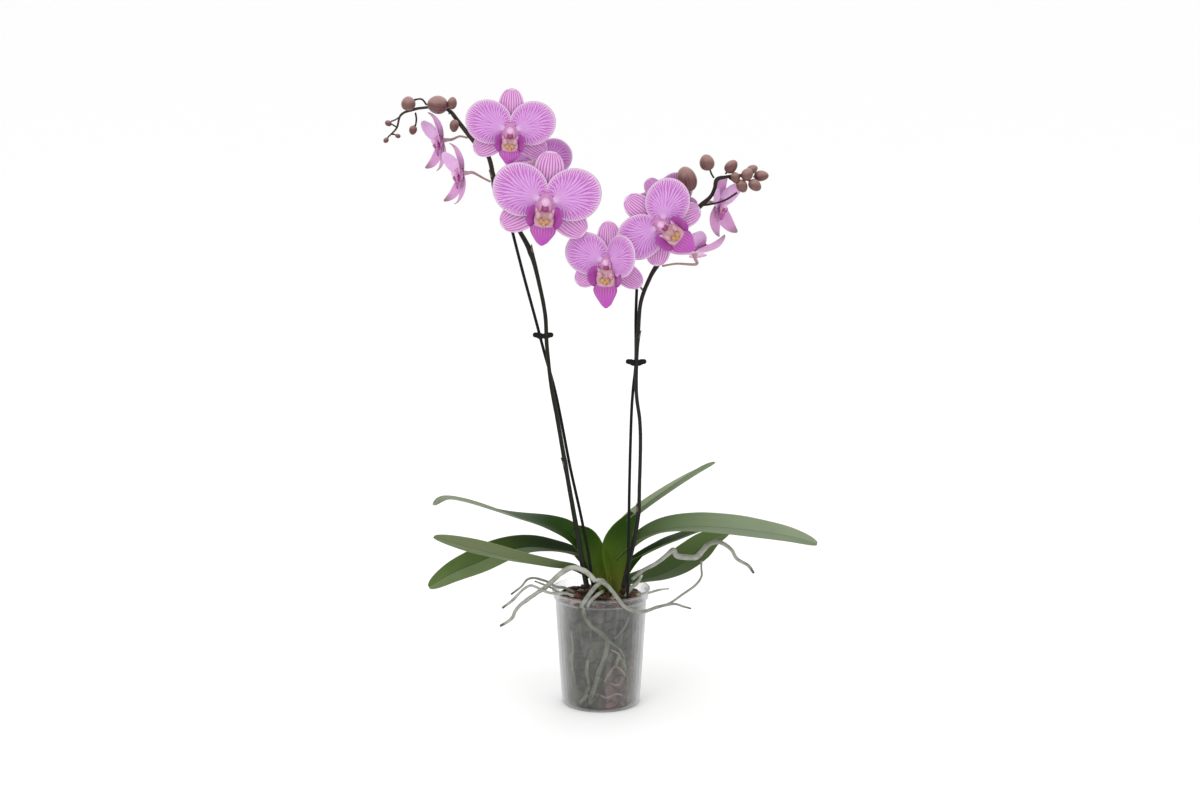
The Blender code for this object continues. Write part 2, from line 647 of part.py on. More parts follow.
def place_all(pieces, frame):
    for piece in pieces:
        piece.data.transform(frame)


def flower(name, form, centre, facing, roll, scale, stalk):
    """Three pieces: the sepals on their stalk, the petals with the column between them, and the lip."""
    frame = flower_frame(centre, facing, roll, scale)
    bend, lateral, lip_scale, petal_scale, petal_lift = FORMS[form]
    sepals = []
    for bearing in (0, lateral, -lateral):
        surface = sepal_surface(bearing, SEPAL_LENGTH, SEPAL_WIDTH, bend)
        sepals.append(blade("sepal", surface, TEPAL_THICKNESS, "sepal", across=4, along=5))
    petals = []
    for side in (-1, 1):
        surface = petal_surface(side, petal_scale * PETAL_REACH, petal_lift, bend)
        petals.append(blade("petal", surface, TEPAL_THICKNESS, "petal", across=6, along=4))
    column_route = metres(COLUMN_ROUTE)
    column_radii = [1.45 * COLUMN_RADIUS, 1.1 * COLUMN_RADIUS, COLUMN_RADIUS]
    petals.append(tube("column", column_route, column_radii, "petal", 8))
    lip = blade(name + "_lip", lip_surface, LIP_THICKNESS, "lip", across=6, along=8)
    place_all(sepals + petals, frame)
    place_all([lip], frame @ Matrix.Scale(lip_scale, 4))

    back = frame @ (Vector((0, 1, SEPAL_DEPTH / MM - 1.4)) * MM)
    outwards = (frame.to_3x3() @ Vector((0, 0, -1))).normalized()
    route = metres(stalk) + [back + outwards * 13 * MM, back + outwards * 6 * MM, back]
    radii = [PEDICEL_RADIUS, PEDICEL_RADIUS, 0.8 * OVARY_RADIUS, OVARY_RADIUS, 1.9 * OVARY_RADIUS]
    pedicel = tube(name + "_sepals", route, radii, "sepal", 7, rings_per_span=2)
    combine(pedicel, sepals, "UNION")
    petals[0].name = name + "_petals"
    combine(petals[0], petals[1:], "UNION")


def main():
    clear_scene()
    pot()
    stakes = {"left": LEFT_STAKE, "right": RIGHT_STAKE}
    spikes = {
        "left": (LEFT_SPIKE, LEFT_SPIKE_RADII, LEFT_TIP_BUDS),
        "right": (RIGHT_SPIKE, RIGHT_SPIKE_RADII, ()),
    }
    buried = [crown("bore", GAP)]
    for side, route in stakes.items():
        stake(side + "_stake", route)
        buried.append(stake("bore", route, GAP))
    for name, runs in ROOTS.items():
        root(name, runs)
        buried.append(root("bore", runs, GAP))
    potting_mix(buried)
    crown()
    for name, shape in LEAVES.items():
        leaf(name, *shape)
    for side, (route, radii, tip_buds) in spikes.items():
        spike(side + "_spike", route, radii, tip_buds)
    for name, (side, height) in CLIPS.items():
        clip(name, spikes[side][0], 2.6 * MM, stakes[side], height)
    for name, shape in BUDS.items():
        bud(name, *shape)
    for name, shape in FLOWERS.items():
        flower(name, *shape)


main()
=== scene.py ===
"""Looks for the potted moth orchid: its leaves, flowers, buds, roots, mix and pot in full detail.

Everything is in metres in the frame's axes: +Z is up and the open flowers face -Y. Routes and outlines
are lists of points in millimetres, which MM scales, and they are those of the CAD part.
"""

import json
import math
import random

import bmesh
import bpy
from mathutils import Matrix, Vector, noise

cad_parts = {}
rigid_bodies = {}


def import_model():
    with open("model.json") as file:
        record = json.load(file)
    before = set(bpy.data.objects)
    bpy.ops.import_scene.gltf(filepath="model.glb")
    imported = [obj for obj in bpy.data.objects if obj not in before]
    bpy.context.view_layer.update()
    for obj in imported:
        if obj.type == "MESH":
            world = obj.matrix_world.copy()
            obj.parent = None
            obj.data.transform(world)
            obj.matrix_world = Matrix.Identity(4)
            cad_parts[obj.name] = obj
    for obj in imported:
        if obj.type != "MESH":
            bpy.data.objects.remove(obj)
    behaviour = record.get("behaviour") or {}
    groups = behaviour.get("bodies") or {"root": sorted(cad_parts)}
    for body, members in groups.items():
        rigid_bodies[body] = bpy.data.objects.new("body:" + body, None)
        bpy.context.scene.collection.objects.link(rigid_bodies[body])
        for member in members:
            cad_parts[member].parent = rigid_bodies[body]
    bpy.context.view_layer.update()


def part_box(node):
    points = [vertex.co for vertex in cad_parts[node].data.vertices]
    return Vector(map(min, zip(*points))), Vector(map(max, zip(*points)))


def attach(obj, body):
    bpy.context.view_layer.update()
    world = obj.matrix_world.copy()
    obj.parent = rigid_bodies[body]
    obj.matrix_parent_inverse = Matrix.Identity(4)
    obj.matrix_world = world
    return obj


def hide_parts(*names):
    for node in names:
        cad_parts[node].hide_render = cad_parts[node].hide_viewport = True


MM = 0.001
UP = Vector((0.0, 0.0, 1.0))

# Camera: the photograph's own view.
CAMERA_PLACE = (-0.0012, -3.2, 1.037)
CAMERA_PITCH = 78.35  # degrees up from straight down
CAMERA_LENS = 81.72
SENSOR_WIDTH = 36.0
# Lights: place, size and power; all aim at the middle of the plant.
LIGHTS = {
    "key": ((-1.3, -1.9, 2.2), 1.6, 16.0),
    "fill": ((2.0, -1.6, 1.3), 1.8, 6.0),
    "back": ((0.4, 2.2, 2.0), 1.6, 8.0),
}
LIGHT_AIM = (0.0, 0.0, 0.42)
FLOOR_SIZE = 60.0

# Leaves: route of the keel, full width, roll and half-fold in degrees at the base and at the tip, and how
# early the roll takes place: evenly for 1, and mostly near the base for 4.
LEAF_THICKNESS = 2.2 * MM
LEAVES = {
    "leaf_left_upper": (
        ((-14, 3, 186), (-34, 6, 207), (-62, 10, 218), (-98, 15, 227), (-125, 19, 235),
         (-164, 24, 246), (-190, 28, 249), (-204, 30, 240)),
        52, (105, -20), (50, 3), 4),
    "leaf_left_front": (
        ((-15, -7, 158), (-34, -12, 170), (-62, -25, 178), (-97, -45, 191), (-132, -65, 206),
         (-161, -82, 219), (-196, -103, 235)),
        35, (-20, -44), (50, 9), 1),
    "leaf_left_lower": (
        ((-16, 6, 174), (-34, 8, 184), (-60, 10, 189), (-88, 12, 191), (-117, 10, 186),
         (-150, 4, 174), (-180, 0, 162), (-209, -5, 146)),
        50, (-4, 40), (44, 9), 1),
    "leaf_right_upper": (
        ((13, 5, 190), (26, 10, 214), (47, 18, 233), (84, 32, 257), (117, 45, 276), (140, 52, 288)),
        42, (6, 24), (54, 18), 1),
    "leaf_right_long": (
        ((18, -2, 172), (36, -4, 193), (56, -6, 209), (82, -8, 219), (116, -12, 223),
         (152, -15, 222), (185, -18, 219), (227, -21, 213), (260, -24, 205)),
        56, (-8, -16), (50, 12), 1),
    "leaf_right_middle": (
        ((20, 8, 158), (45, 15, 177), (75, 26, 190), (97, 38, 196), (119, 48, 202), (141, 58, 206)),
        26, (0, 4), (48, 18), 1),
    "leaf_right_lower": (
        ((18, 8, 144), (40, 18, 146), (66, 40, 146), (92, 62, 152), (116, 80, 165), (136, 92, 179),
         (161, 100, 190)),
        46, (-12, -22), (40, 12), 1),
}

# Crown: its core's route and radii, then the leaf bases that clasp it: route of the middle,
# half-widths, and how far the edges come forward.
CORE = (((6, 2, 118), (7, 2, 132), (10, 0, 144), (11, -4, 150)), (6, 9, 9, 6))
SHEATHS = (
    (((8, -12, 140), (1, -12, 162), (-7, -11, 188), (-18, -6, 209), (-34, 2, 217)),
     (5, 11, 14, 13, 6), 10),
    (((15, -12, 140), (18, -12, 166), (18.5, -11, 195), (25, -6, 215), (40, 6, 236)),
     (5, 12, 18, 15, 5), 10),
    (((14, -4, 134), (22, 0, 156), (36, 5, 172), (50, 10, 182)), (6, 8, 5, 1), 6),
    (((2, -4, 134), (-6, 0, 158), (-18, 4, 174), (-32, 8, 184)), (6, 8, 6, 1.5), 6),
)

# Flower spikes: route of the stem and its radius along it, then its stake.
LEFT_SPIKE = (
    (-17, -25, 152), (-23, -26, 185), (-28, -28, 218), (-34, -30, 253), (-42, -32, 301),
    (-52, -34, 362), (-59, -36, 402), (-64, -35, 450), (-66, -33, 488), (-75, -30, 533),
    (-83, -28, 561), (-95, -26, 584), (-110, -24, 608), (-124, -20, 633), (-127, -17, 652),
    (-133, -12, 673), (-148, -6, 687), (-168, -2, 712), (-178, 0, 724), (-192, 2, 728),
    (-209, 3, 727), (-220, 3, 725), (-235, 3, 719), (-240, 2, 704), (-247, 2, 696))
LEFT_SPIKE_RADII = (3.3, 3.2, 3.0, 2.8, 2.6, 2.5, 2.4, 2.4, 2.4, 2.5, 3.1, 2.7, 2.6, 3.1, 2.7, 2.7,
                    2.7, 2.6, 2.2, 1.7, 1.6, 1.7, 1.3, 1.2, 1.0)
RIGHT_SPIKE = (
    (27, -24, 152), (33, -25, 180), (40, -27, 212), (45, -28, 245), (46, -31, 281), (47, -34, 329),
    (46, -36, 360), (42, -38, 392), (42, -38, 430), (44, -39, 468), (47, -36, 503), (58, -24, 530),
    (67, -16, 544), (79, -10, 562), (95, -4, 583), (107, 0, 601), (118, 0, 612), (129, 0, 622),
    (134, 0, 632), (137, 0, 643), (148, 0, 646), (163, 0, 648), (176, 1, 646))
RIGHT_SPIKE_RADII = (3.0, 2.9, 2.7, 2.4, 2.2, 2.2, 2.2, 2.2, 2.2, 2.3, 2.4, 2.6, 3.0, 2.4, 2.4, 2.4,
                     2.9, 2.3, 2.2, 2.6, 1.9, 1.6, 1.1)
STEM_RINGS = 8  # rings of the stem between two points of its route
STAKE_RADIUS = 1.8 * MM
LEFT_STAKE = (
    (-2, -24, 40), (-8, -24, 130), (-14, -25, 185), (-24, -25, 240), (-37, -25, 301),
    (-48, -26, 361), (-56, -28, 400), (-67, -29, 440), (-77, -31.5, 480), (-92, -35, 538),
    (-107, -38.5, 600))
RIGHT_STAKE = (
    (31, -27, 40), (32, -30, 130), (33, -33, 200), (34, -32, 282), (36, -31, 362), (38, -31, 396),
    (41, -32, 429), (41, -34, 481), (42, -35, 517))
# Nodes of the stems, as shares of the route, each with a small papery bract on the side given.
LEFT_BRACTS = ((0.17, 1), (0.415, -1), (0.50, -1), (0.575, 1))
RIGHT_BRACTS = ((0.14, 1), (0.40, -1), (0.56, 1))

# Side stalks of the spikes that carry no flower or bud of their own yet: route and radius.
LEFT_BRANCHES = (
    (((-222, 3, 725), (-230, 3, 722), (-240, 3, 714), (-247, 3, 711)), 0.9),)
RIGHT_BRANCHES = (
    (((118, 0, 612), (130, -3, 614), (146, -6, 619), (160, -8, 628)), 1.2),
    (((150, 0, 646), (156, -4, 642), (166, -7, 640)), 1.2),
    (((160, 0, 648), (168, -4, 646), (176, -7, 641)), 1.2))

# Aerial roots: route and radii of each run; the first is the root and the others grow from it.
ROOTS = {
    "root_left_arch": (
        (((-7, -33, 162), (-19, -34, 174), (-35, -36, 179), (-49, -35, 171), (-59, -33, 161),
          (-68, -30, 152), (-78, -28, 145), (-89, -25, 136), (-97, -22, 129), (-104, -20, 120),
          (-107, -18, 112), (-113, -16, 106), (-122, -14, 100)),
         (3.0, 3.2, 3.3, 3.2, 3.0, 2.9, 2.6, 2.4, 2.2, 2.1, 2.0, 1.9, 1.5)),),
    "root_left_high": (
        (((-33, -14, 142), (-43, -16, 148), (-55, -16, 150), (-64, -14, 155), (-74, -12, 158),
          (-82, -10, 159), (-90, -8, 156), (-97, -6, 147), (-109, -4, 137)),
         (1.5, 1.6, 1.6, 1.5, 1.5, 1.4, 1.4, 1.3, 1.1)),),
    "root_left_low": (
        (((-34, -33, 143), (-42, -39, 148), (-52, -42, 148.5), (-64, -39, 149), (-78, -33, 154),
          (-85, -30, 155), (-92, -28, 151), (-99, -26, 144), (-107, -24, 135), (-119, -22, 125)),
         (1.8, 1.8, 1.7, 1.7, 1.6, 1.6, 1.6, 1.6, 1.7, 1.3)),),
    "root_right_front": (
        (((0, -33, 160), (7, -39, 158), (14, -49, 153), (21, -60, 146), (29, -61, 137),
          (41, -53, 129), (53, -41, 126), (66, -28, 127), (78, -21, 128), (90, -16, 128),
          (100, -13, 124), (109, -11, 121)),
         (2.6, 2.6, 2.5, 2.4, 2.3, 2.3, 2.2, 2.0, 1.8, 1.4, 1.3, 1.0)),
        (((76, -22, 127.5), (85, -16, 130), (98, -11, 138), (114, -5, 148), (122, -1, 158),
          (122, 2, 168), (122, 4, 179)),
         (1.5, 1.4, 1.4, 1.4, 1.3, 1.2, 1.3))),
    "root_right_upper": (
        (((38, -12, 158), (52, -5, 168), (66, 0, 174), (80, 4, 184), (88, 6, 190), (92, 5, 183),
          (106, 5, 181), (117, 5, 182), (124, 5, 190), (132, 5, 198), (145, 3, 200), (158, 0, 192),
          (165, -3, 181), (178, -6, 174), (185, -8, 165)),
         (2.0, 2.3, 2.5, 2.8, 3.2, 3.5, 3.6, 3.6, 3.4, 3.0, 2.6, 2.3, 2.1, 2.1, 1.5)),),
}

# Runs of root that only the looks have: they grow from the named root's foot.
EXTRA_ROOTS = {
    "root_left_arch": (
        (((8, -16, 150), (3, -25, 159), (-2, -31, 162), (-7, -33, 162)), (2.4, 2.7, 2.9, 3.0)),),
    "root_left_high": (
        (((-30, -20, 140), (-38, -26, 143), (-50, -28, 146), (-62, -25, 152), (-80, -14, 156)),
         (1.3, 1.3, 1.2, 1.2, 0.9)),),
    "root_right_front": (
        (((2, -38, 150), (-6, -43, 146), (-13, -47, 140), (-17, -49, 133)), (2.0, 2.2, 2.1, 1.8)),
        (((0, -33, 160), (-7, -39, 155.5), (-14, -45, 148), (-20, -49, 140), (-25, -51, 132)),
         (2.5, 2.8, 2.9, 2.7, 2.3))),
    "root_right_upper": (
        (((30, -16, 138), (36, -18, 148), (44, -20, 156), (50, -18, 166)), (2.4, 2.4, 2.2, 1.4)),
        (((44, -16, 140), (58, -12, 141), (70, -10, 144), (82, -8, 145)), (1.5, 1.4, 1.3, 0.8))),
}

# Buds: centre, long and short radii, the way the bud's tip points, and its stalk's route.
BUD_STALK_RADIUS = 1.1 * MM
BUDS = {
    "left_bud_large": (
        (-191, -13, 732), 12.2, 11.0, (-0.9, -0.2, 0.1),
        ((-178, -4.5, 721), (-178, -10, 724))),
    "left_bud_round": (
        (-226, -1, 732), 8.6, 8.4, (-0.9, 0.0, -0.5),
        ((-205, 3, 730.5), (-210, 2, 737), (-217, 1, 737))),
    "left_bud_small": (
        (-221, 1, 701), 5.6, 4.8, (-0.3, 0.0, -1.0),
        ((-218, 2.5, 721), (-217, 2, 714), (-218, 1, 707))),
    "left_bud_stem": (
        (-172, -9, 707), 7.4, 5.6, (-0.1, -0.3, -1.0),
        ((-170, -5, 717), (-171, -7, 714))),
    "right_bud_large": (
        (101, 0, 643), 15.5, 12.4, (-0.25, 0.0, 1.0),
        ((111, 0, 609.5), (106, 0, 616), (104, 0, 629))),
    "right_bud_high": (
        (125, 0, 663), 9.8, 9.0, (-0.3, 0.0, 1.0),
        ((133, 0, 645), (130, 0, 650), (128, 0, 656))),
    "right_bud_upper": (
        (153, -6, 659), 9.0, 7.0, (0.8, 0.0, 0.9),
        ((147, -2, 650), (149, -4, 653))),
    "right_bud_lower": (
        (166, -8, 636), 8.0, 6.6, (0.5, -0.2, -1.0),
        ((162, -2, 645), (163, -4, 642))),
    "right_bud_tip": (
        (189, 0, 647), 8.8, 6.6, (1.0, 0.0, 0.05),
        ((180, 1, 646), (184, 0, 646))),
}
# Smaller buds that crowd round a named one: centre, long and short radii, the way each points.
CROWDED_BUDS = {
    "left_bud_large": (((-174, -12, 734), 7.4, 5.8, (0.2, 0.0, 1.0)),),
    "right_bud_tip": (
        ((172, -10, 650), 8.0, 7.0, (0.4, 0.0, 0.6)), ((181, -9, 637), 8.4, 6.8, (0.8, 0.0, -0.6)),
        ((158, -9, 646), 6.8, 5.6, (0.2, 0.0, -1.0)), ((178, -3, 655), 7.0, 5.4, (0.9, 0.0, 0.5))),
}
LEFT_TIP_BUDS = (((-250, 2, 709), 4.2), ((-239, 2, 694), 3.2), ((-253, 2, 689), 3.6))

# Each flower: form, centre, the way it faces, roll in degrees (clockwise as it faces you), scale, and
# the route of its stalk from the spike towards its back.
FLOWERS = {
    "left_flower_1": (
        "short_lipped", (-105, -46, 705), (0.0, -1.0, 0.02), 2, 0.95,
        ((-144, -12, 686), (-128, -20, 694))),
    "left_flower_2": (
        "open", (-64, -62, 624), (0.0, -1.0, 0.02), 6, 1.15,
        ((-103, -30, 603), (-86, -34, 612))),
    "left_flower_3": (
        "back", (-76, 24, 660), (0.3, 1.0, 0.1), 0, 0.80,
        ((-121, -9, 644), (-106, 0, 650))),
    "left_flower_4": (
        "young", (-190, 9, 687), (-0.86, -0.50, -0.04), 0, 0.76,
        ((-157, -8, 693), (-166, -2, 694))),
    "left_flower_5": (
        "young", (-164, -37, 654), (-0.88, -0.46, 0.02), 0, 0.78,
        ((-130, -21, 643), (-139, -24, 648))),
    "right_flower_1": (
        "folded", (8, -56, 553), (-0.25, -1.0, 0.0), 0, 0.93,
        ((49, -29, 516), (32, -32, 534))),
    "right_flower_2": (
        "wide_lipped", (69, -52, 597), (0.10, -1.0, 0.0), -52, 0.98,
        ((75, -16, 564), (71, -26, 586))),
    "right_flower_3": (
        "young", (141, 21, 610), (0.66, -0.74, -0.06), -4, 0.80,
        ((119, 6, 610), (122, 14, 611))),
    "right_flower_4": (
        "cupped", (112, 12, 556), (-0.10, 0.42, 0.90), 80, 0.86,
        ((73, -15, 542), (90, -4, 543))),
    "right_flower_5": (
        "back", (76, 22, 610), (-0.1, 1.0, 0.1), 34, 0.76,
        ((92, 3, 588), (84, 8, 598))),
}
# Form: how far the tepals bend forward (radians at a sepal's tip), bearing of the lateral sepals in
# degrees, how pointed the sepals are, size of the lip, length of its mid-lobe, size of the petals, their
# width as a share of a full petal's, how many degrees above level they rise, and how far each (left,
# right) turns forward on its claw.
FORMS = {
    "short_lipped": (0.0, 122, 0.0, 1.0, 0.86, 1.0, 1.0, 22, (0, 0)),
    "open": (0.0, 124, 0.0, 1.0, 1.0, 1.0, 1.0, 22, (0, 0)),
    "folded": (0.0, 124, 0.1, 1.18, 1.25, 1.0, 1.0, 22, (0, 38)),
    "wide_lipped": (0.0, 124, 0.0, 1.15, 1.0, 1.0, 1.0, 22, (6, 6)),
    "back": (0.0, 124, 0.1, 0.9, 1.0, 1.0, 1.0, 22, (0, 0)),
    "young": (0.55, 156, 0.85, 0.5, 1.1, 0.76, 0.60, 46, (16, 16)),
    "cupped": (0.25, 124, 0.8, 0.6, 1.0, 0.85, 0.6, 16, (10, 10)),
}
SEPAL_LENGTH = 51.5 * MM
SEPAL_WIDTH = 31 * MM
SEPAL_DEPTH = -3.0 * MM
PETAL_RADIUS = 27.8 * MM
PETAL_FAN = 163  # degrees round the petal's rim, each way from its far end
PETAL_CLAW = 1.0 * MM
PETAL_DEPTH = 0.8 * MM
TEPAL_THICKNESS = 0.9 * MM

# Faces across and along each kind of blade.
LEAF_GRID = (40, 90)
SEPAL_GRID = (28, 36)
PETAL_GRID = (84, 34)

# Pot: a thin shell that widens upwards, with a banded rim.
WALL = 1.4 * MM
# The cavity's radius at the base, and how much it grows for each unit of height.
INNER_FOOT = 46.3 * MM
INNER_TAPER = 0.0605
# Radius and height up the outside, from the base to the top of the rim.
OUTER = (
    (42.5, 0.0), (45.8, 0.6), (47.0, 2.2), (47.6, 4.6), (47.9, 9.0), (48.4, 16.0), (50.2, 45.0),
    (52.0, 75.0), (53.8, 104.0), (55.4, 131.0), (56.3, 132.6), (57.7, 133.4), (57.9, 136.5),
    (58.3, 141.2), (59.3, 141.9), (60.0, 142.9), (59.9, 143.7), (59.1, 144.0))
POT_RIBS = 24

# Roots inside the pot, seen through its wall: thick green ones and thin pink ones.
INNER_ROOTS = (
    (((-24, -52, 132), (-21, -54, 121), (-13, -55.5, 111), (-5, -55.5, 105), (3, -55, 99),
      (8, -54, 92), (7, -53, 80), (3, -52, 66), (-2, -51.5, 54), (-5, -50.5, 42), (-9, -49, 30),
      (-13, -48, 20), (-14, -46, 11)),
     (2.4, 2.6, 2.9, 3.1, 3.2, 3.3, 3.4, 3.5, 3.4, 3.3, 3.1, 2.9, 2.4)),
    (((-19, -50, 22), (-24, -47, 16), (-29, -42, 10)), (2.4, 2.6, 2.0)),
    (((10, -54, 92), (17, -52, 86), (24, -49, 80), (29, -45, 71), (31, -43, 58)),
     (1.5, 1.5, 1.4, 1.4, 1.2)),
    (((22, -49, 70), (17, -50, 60), (12, -50, 50), (9, -50, 42)), (1.3, 1.4, 1.4, 1.1)),
    (((24, -48, 71), (30, -43, 60), (34, -38, 44), (35, -35, 28)), (1.4, 1.6, 1.6, 1.3)),
    (((35, -43, 118), (31, -46, 108), (25, -50, 100), (18, -53, 94)), (1.6, 1.6, 1.5, 1.2)),
    (((-36, -36, 100), (-34, -37, 80), (-35, -34, 60), (-32, -35, 35)), (1.6, 1.8, 1.6, 1.3)),
    (((-17, -50, 66), (-19, -49, 50), (-16, -49, 34), (-20, -47, 24)), (2.6, 2.4, 2.2, 1.8)),
    (((40, 34, 118), (36, 38, 96), (28, 44, 70), (20, 46, 44), (24, 42, 18)), (2.4, 2.6, 2.6, 2.4, 2.0)),
    (((-10, 54, 120), (-16, 52, 92), (-8, 52, 66), (-14, 48, 36)), (2.4, 2.6, 2.6, 2.0)),
    (((-48, 14, 112), (-46, 18, 84), (-43, 21, 52), (-40, 20, 24)), (2.2, 2.4, 2.2, 1.8)),
    (((48, 12, 110), (46, 15, 80), (44, 17, 50), (41, 18, 24)), (2.0, 2.2, 2.0, 1.6)),
)
PINK_ROOTS = (
    (((5, -50.2, 40), (10, -50.2, 50), (18, -48.6, 58), (28, -43.8, 51), (31, -40.8, 44)),
     (1.1, 1.2, 1.3, 1.2, 0.8)),
    (((18, -48.6, 58), (22, -47.5, 65), (23, -47.6, 73), (13, -51, 80)), (1.2, 1.2, 1.2, 0.9)),
    (((0, -49, 22), (8, -48.4, 19), (19, -45.4, 23), (27, -41.5, 20)), (1.0, 1.2, 1.1, 0.8)),
    (((12, -49.6, 38), (20, -47, 34), (26, -43.6, 37)), (0.8, 1.0, 0.7)),
)

# Potting mix: radius and height up its outside, then the height of its loose top at the middle, how far
# that falls towards the wall, and the radius at which it has fallen that far.
MIX_PROFILE = (
    (0.0, 2.6), (41, 2.6), (44.6, 5), (46.4, 20), (49.0, 60), (51.0, 95), (52.9, 124), (50.5, 129),
    (40, 131), (26, 134), (12, 137), (0.0, 138))
MIX_TOP = 139
MIX_FALL = 7
MIX_RADIUS = 52
BARK_CHUNKS = 95
MOSS_STRANDS = 70
MIX_SEED = 11


# ---------------------------------------------------------------- materials


class Shade:
    """Builds one procedural material. A value may be a node socket or a plain number or colour."""

    def __init__(self, name, roughness, **sockets):
        self.made = bpy.data.materials.new(name)
        self.made.use_nodes = True
        self.tree = self.made.node_tree
        self.shader = self.tree.nodes["Principled BSDF"]
        self.set("Roughness", roughness)
        for socket, value in sockets.items():
            self.set(socket.replace("_", " "), value)

    def feed(self, socket, value):
        if isinstance(value, bpy.types.NodeSocket):
            self.tree.links.new(value, socket)
        elif isinstance(value, tuple) and len(value) == 3 and len(socket.default_value) == 4:
            socket.default_value = (*value, 1.0)
        else:
            socket.default_value = value

    def set(self, socket, value):
        self.feed(self.shader.inputs[socket], value)

    def add(self, kind, **options):
        node = self.tree.nodes.new(kind)
        for option, value in options.items():
            setattr(node, option, value)
        return node

    def math(self, operation, first, second=0.0):
        node = self.add("ShaderNodeMath", operation=operation)
        self.feed(node.inputs[0], first)
        self.feed(node.inputs[1], second)
        return node.outputs[0]

    def times(self, first, second):
        return self.math("MULTIPLY", first, second)

    def plus(self, first, second):
        return self.math("ADD", first, second)

    def minus(self, first, second):
        return self.math("SUBTRACT", first, second)

    def off_middle(self, across):
        """How far a place is from the middle of the surface: 0 to 0.5."""
        return self.math("ABSOLUTE", self.minus(across, 0.5))

    def step(self, value, start, end):
        """0 before start and 1 after end, or the other way round if end is lower."""
        node = self.add("ShaderNodeMapRange", interpolation_type="SMOOTHSTEP")
        low, high = min(start, end), max(start, end)
        self.feed(node.inputs["Value"], value)
        node.inputs["From Min"].default_value = low
        node.inputs["From Max"].default_value = high
        node.inputs["To Min"].default_value = 0.0 if start < end else 1.0
        node.inputs["To Max"].default_value = 1.0 if start < end else 0.0
        return node.outputs[0]

    def mix(self, share, first, second):
        node = self.add("ShaderNodeMix", data_type="RGBA")
        self.feed(node.inputs[0], share)
        self.feed(node.inputs[6], first)
        self.feed(node.inputs[7], second)
        return node.outputs[2]

    def tint(self, colour, mask, share, tone):
        """The colour, turned towards tone by share where mask is 1."""
        return self.mix(self.times(mask, share), colour, tone)

    def parts(self, vector):
        """The three parts of a vector."""
        split = self.add("ShaderNodeSeparateXYZ")
        self.feed(split.inputs[0], vector)
        return split.outputs

    def uv(self):
        """Across (0 to 1) and along (0 to 1) the surface."""
        source = self.add("ShaderNodeUVMap", uv_map="UVMap")
        return self.parts(source.outputs[0])[:2]

    def place(self, stretch=(1.0, 1.0, 1.0)):
        """The point's own place in metres, stretched."""
        source = self.add("ShaderNodeTexCoord")
        scaled = self.add("ShaderNodeVectorMath", operation="MULTIPLY")
        self.feed(scaled.inputs[0], source.outputs["Object"])
        scaled.inputs[1].default_value = stretch
        return scaled.outputs[0]

    def join(self, x, y, z=0.0):
        node = self.add("ShaderNodeCombineXYZ")
        for socket, value in zip(node.inputs, (x, y, z)):
            self.feed(socket, value)
        return node.outputs[0]

    def noise(self, where, scale, detail=2.0):
        node = self.add("ShaderNodeTexNoise")
        self.feed(node.inputs["Vector"], where)
        node.inputs["Scale"].default_value = scale
        node.inputs["Detail"].default_value = detail
        return node.outputs["Fac"]

    def swayed(self, across, along, stretch, amount):
        """across with a slow wobble along the surface, so that veins aren't ruled lines."""
        sway = self.noise(self.join(self.times(across, stretch), along), 6.0, 3.0)
        return self.plus(across, self.times(self.minus(sway, 0.5), amount))

    def grained(self, across, along, stretch):
        """Fine streaks along the surface: stretch across, stretch along and scale of the noise."""
        where = self.join(self.times(across, stretch[0]), self.times(along, stretch[1]))
        return self.noise(where, stretch[2], 3.0)

    def cells(self, where, scale, feature="F1"):
        node = self.add("ShaderNodeTexVoronoi", feature=feature)
        self.feed(node.inputs["Vector"], where)
        node.inputs["Scale"].default_value = scale
        return node.outputs["Distance"]

    def bump(self, height, distance, strength=1.0):
        node = self.add("ShaderNodeBump")
        self.feed(node.inputs["Height"], height)
        node.inputs["Distance"].default_value = distance
        node.inputs["Strength"].default_value = strength
        self.set("Normal", node.outputs[0])

    def veins(self, across, along, cells, forks, width):
        """1 on a vein, 0 between: cells main veins, each of which forks over each span in forks."""
        place = self.times(across, cells)
        lines = [0.0]
        offset = 1.0
        for start, end in forks:
            offset *= 0.5
            spread = self.times(self.step(along, start, end), offset)
            lines += [self.plus(spread, line) for line in lines]
        nearest = 1.0
        for line in lines:
            gap = self.math("PINGPONG", self.minus(place, line), 0.5)
            nearest = self.math("MINIMUM", gap, nearest)
        return self.step(nearest, width, 0.3 * width)

    def done(self, colour):
        self.set("Base Color", colour)
        return self.made


def shaded(colour, share):
    return tuple(share * part for part in colour)


